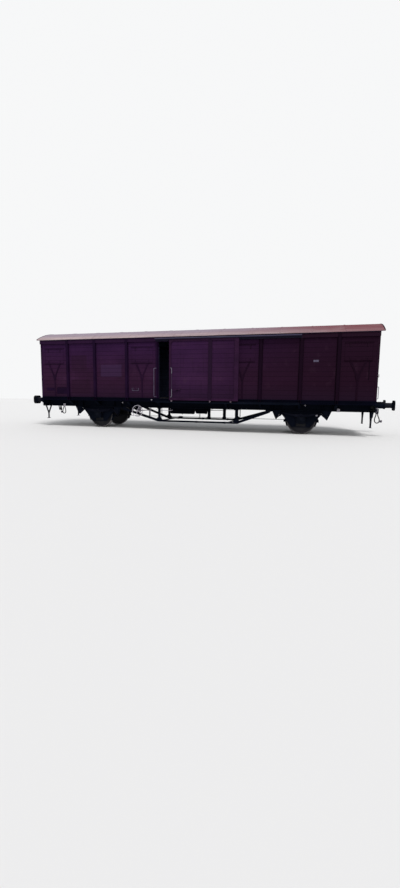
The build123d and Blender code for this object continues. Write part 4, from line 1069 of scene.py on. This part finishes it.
def buffer_collars(p):
    """Base bolts, ribs, the collars at both ends of each tube and the ring behind each head."""
    collars = ((6672, ((106, 0), (122, 6), (122, 40), (112, 48))),
               (6411, ((132, 0), (128, 12), (112, 34), (107, 36))),
               (6925, ((87, 0), (94, 12), (130, 52), (134, 58))))
    rib = ((-88, 100), (80, 100), (-60, 150), (-88, 150))
    for sx, sy in PAIRS:
        y = sy * BUFFER_Y
        out = (sx, 0, 0)
        corners = [(sx * 6412, y + a, BUFFER_Z + b) for a in (-118, 118) for b in (-118, 118)]
        p.bolts(corners, 36, 24, out)
        for x, rings in collars:
            p.lathe((sx * x, y, BUFFER_Z), out, rings, 32)
        for angle in turns(4, 0.5):
            spot = Matrix.Translation((sx * 6500, y, BUFFER_Z)) @ Matrix.Rotation(angle, 4, "X")
            p.move(spot, p.plate([(sx * x, z) for x, z in rib], -6, 6))


def buffer_faces(p):
    """The worn and slightly crowned face of each buffer's head."""
    for sx, sy in PAIRS:
        p.lathe((sx * 7010, sy * BUFFER_Y, BUFFER_Z), (sx, 0, 0), ((150, -1), (146, 2.5), (60, 4.5)), 36)


def coupling_details(p):
    """Threads on the coupling's screw, its trunnion washers, the hook's guide plates and their bolts."""
    top, low = Vector((6448, 0, 853)), Vector((6474, 0, 658))
    for t in spaced(0.14, 0.86, 15):
        p.lathe(top.lerp(low, t), low - top, ((24, -4), (30, 0), (24, 4)), 14)
    for side in (-1, 1):
        for x, z in ((6448, 853), (6474, 658), (6438, 1088)):
            p.lathe((x, side * 75, z), (0, side, 0), ((26, -1), (26, 6), (14, 10)), 12)
        p.box(6388, 6404, side * 26, side * 135, 1010, 1170, 4)
        p.bolts([(6404, side * 105, z) for z in (1035, 1145)], 30, 18, FRONT)


def headstock_details(p):
    """Bolts on the end beam, and the air pipe's flange, union and cock lever."""
    for side in (-1, 1):
        for y in (300, 550, 620, 1170, 1230):
            p.bolts([(HALF, side * y, z) for z in (900, 1010, 1130)], 26, 16, FRONT)
        p.domes([(HALF, side * y, 875) for y in (700, 1050)], BIG_RIVET, FRONT)
    p.lathe((6389, PIPE_Y, PIPE_Z), FRONT, ((46, 0), (46, 12), (30, 18)))
    p.lathe((6500, PIPE_Y, PIPE_Z), FRONT, ((27, 0), (33, 4), (33, 26), (27, 30)), 6)
    lever = [(6565, y, z) for y, z in ((-420, 952), (-420, 985), (-345, 990), (-315, 985))]
    p.tube(rounded(lever, 20), 7.5, 8)


def end_handles(p):
    """The bent bars under both buffers, and the upright bars at the body's corners."""
    # Columns: x of the feet and of the bar, y, z of the lower and the upper foot, bend, bar's radius
    bars = ((6388, 6450, 1235, 865, 985, 30, 10), (6381, 6445, 1225, 1300, 1700, 35, 11))
    for side in (-1, 1):
        for x0, x1, y, low, high, bend, radius in bars:
            bar = [(x, side * y, z) for x, z in ((x0, high), (x1, high), (x1, low), (x0, low))]
            p.tube(rounded(bar, bend), radius, 8)
        for z in (1300, 1700):
            p.lathe((6381, side * 1225, z), FRONT, ((26, 0), (26, 8), (16, 14)), 12)


def buffer_treads(p):
    """The small tread plate on a buffer's tube, on four feet, with raised bars across it."""
    p.box(6440, 6655, -985, -765, 1198, 1206)
    for x in spaced(6455, 6640, 8):
        p.strip(x, 4, -980, -770, 1205, 1210, 1)
    for x in (6475, 6620):
        for y in (-915, -835):
            p.strip(x, 12, y - 4, y + 4, 1170, 1200, 1)


def step_details(p):
    """Raised bars on the corner steps' treads, rivets at their joints and the feet on the headstock."""
    for side in (-1, 1):
        x = side * 6280
        for y in spaced(-1192, -1018, 7):
            p.strip(x, 28, y - 3, y + 3, 338, 343, 1)
        p.domes(grid((x - 16, x + 16), -1111, (400, 500)), TALL_RIVET)
        for y in (-925, -1240):
            p.box(side * 6279, side * 6315, y - 35, y + 35, 838, 846.5)
            p.bolts([(side * 6300, y + a, 838) for a in (-22, 22)], 16, 10, DOWN)


whole("buffer_collars", "dark_steel", buffer_collars)
whole("buffer_faces", "buffer_steel", buffer_faces, smooth=True)
both_sides("coupling_threads", "buffer_steel", coupling_details)
both_sides("headstock_bolts", "dark_steel", headstock_details)
both_sides("end_handles", "pale_metal", end_handles, smooth=True)
both_sides("buffer_treads", "pale_metal", buffer_treads)
both_sides("step_bars", "dark_steel", step_details)


# Brakes

def vessel_bands(p):
    """Bands and domed ends on the tank and the cylinder, the cylinder's bolts and the tank's drain."""
    y, z = VESSEL_Y, VESSEL_Z
    for x0, length, r in ((-1350, 1010, 190), (-225, 430, 165)):
        for x in (x0 + 60, x0 + length - 60):
            p.lathe((x - 20, y, z), FRONT, ((r - 1, 0), (r + 5, 2), (r + 5, 38), (r - 1, 40)), 40)
            p.strip(x, 20, y + r - 6, y + r + 34, z - 20, z + 20, 3)
            p.bolts([(x, y + r + 17, z - 20)], 18, 12, DOWN)
    dome = ((170, -1), (168, 10), (140, 24), (90, 34), (30, 38))
    head = ((178, -30), (178, -6), (150, 2), (60, 30), (34, 60))
    foot = ((164, -1), (160, 10), (100, 20), (30, 22))
    for x, axis, rings in ((-1350, REAR, dome), (-340, FRONT, dome), (205, FRONT, head), (-225, REAR, foot)):
        p.lathe((x, y, z), axis, rings, 32)
    spots = [(176, y + 171 * math.cos(a), z + 171 * math.sin(a)) for a in turns(8)]
    p.bolts(spots, 20, 14, REAR)
    p.lathe((-850, y, z - 188), DOWN, ((22, 0), (22, 14), (12, 28)), 10)


def brake_pipes(p):
    """The valve beside the cylinder with its pipes, and the clips and unions along the air pipe."""
    pipe = [(-400, PIPE_Y, PIPE_Z), (-400, -150, PIPE_Z), (-400, -150, 840), (-400, 50, 840)]
    p.tube(rounded(pipe, 50), 12)
    p.tube([(-300, 75, 800), (-300, VESSEL_Y, 800)], 11)
    p.box(-480, -225, 0, 110, 745, 885, 14)
    p.box(-450, -255, 10, 100, 880, 980, 8)
    p.lathe((-350, 55, 746), DOWN, ((44, 0), (44, 30), (30, 45)), 18)
    p.bolts(grid((-455, -250), 0, (770, 860)), 22, 14)
    for x in (-5200, -2600, 2600, 5200):
        p.strip(x, 15, -440, -400, 926, 1178, 3)
        p.lathe((x - 18, PIPE_Y, PIPE_Z), FRONT, ((22, 0), (22, 36)), 12)
    for x in (-3100, -900, 1200, 3100):
        p.lathe((x - 30, PIPE_Y, PIPE_Z), FRONT, ((19, 0), (25, 6), (25, 54), (19, 60)), 8)


def rod_fittings(p):
    """The slack adjuster on the pull rod, its forks, lever pins, and the straps under the rods."""
    adjuster = ((22, 0), (40, 10), (40, 60), (34, 70), (34, 460), (40, 470), (40, 520), (24, 540))
    p.lathe((1450, 0, ROD_Z), FRONT, adjuster, 20)
    for side in (-1, 1):
        out = (0, side, 0)
        for x in (390, 1020, -800):
            p.box(x - 90, x + 70, side * 19.5, side * 31, ROD_Z - 24, ROD_Z + 24, 4)
            p.lathe((x, side * 31, ROD_Z), out, ((18, -2), (18, 8), (10, 14)), 12)
        for x in (390, 1020):
            p.lathe((x, side * 10, VESSEL_Z), out, ((30, -2), (30, 12), (16, 20)), 14)
            p.lathe((x, side * 10, 610), out, ((20, -2), (20, 10), (12, 14)), 12)
    for x in (-1650, 0, 1650):
        strap = [(x, y, z) for y, z in ((-55, 985), (-55, 425), (55, 425), (55, 985))]
        p.tube(rounded(strap, 40), 8, 8)
    for sx, sy in PAIRS:
        for x in (sx * AXLE_X - 577, sx * AXLE_X + 577):
            p.lathe((x, sy * 779, ROD_Z), (0, sy, 0), ((24, -2), (24, 10), (12, 16)), 12)


def handwheel_fittings(p):
    """The hub's nut and boss, a grip on the rim, the bracket's bolts and the spindle's collars."""
    x, y, z = -2180, -1235, 718
    p.lathe((x, y - 19, z), OUT, ((34, 0), (26, 10), (22, 12), (22, 26), (12, 30)), 6)
    p.lathe((x, y + 18, z), INWARD, ((34, 0), (34, 12), (22, 30)), 20)
    for at, way in ((-996, OUT), (-969, INWARD)):
        p.lathe((x, at, z), way, ((30, -2), (30, 12), (20, 16)))
    p.bolts([(x + a, -995, 815) for a in (-22, 22)], 18, 10)
    for rim in around((x, y - 8, z), 215, (0.9,)):
        p.lathe(rim, OUT, ((12, 0), (14, 20), (17, 60), (10, 78)), 12)


whole("vessel_bands", "dark_steel", vessel_bands)
whole("brake_pipes", "dark_steel", brake_pipes)
whole("brake_rod_fittings", "dark_steel", rod_fittings)
whole("handwheel_fittings", "pale_metal", handwheel_fittings, material=bright_metal)
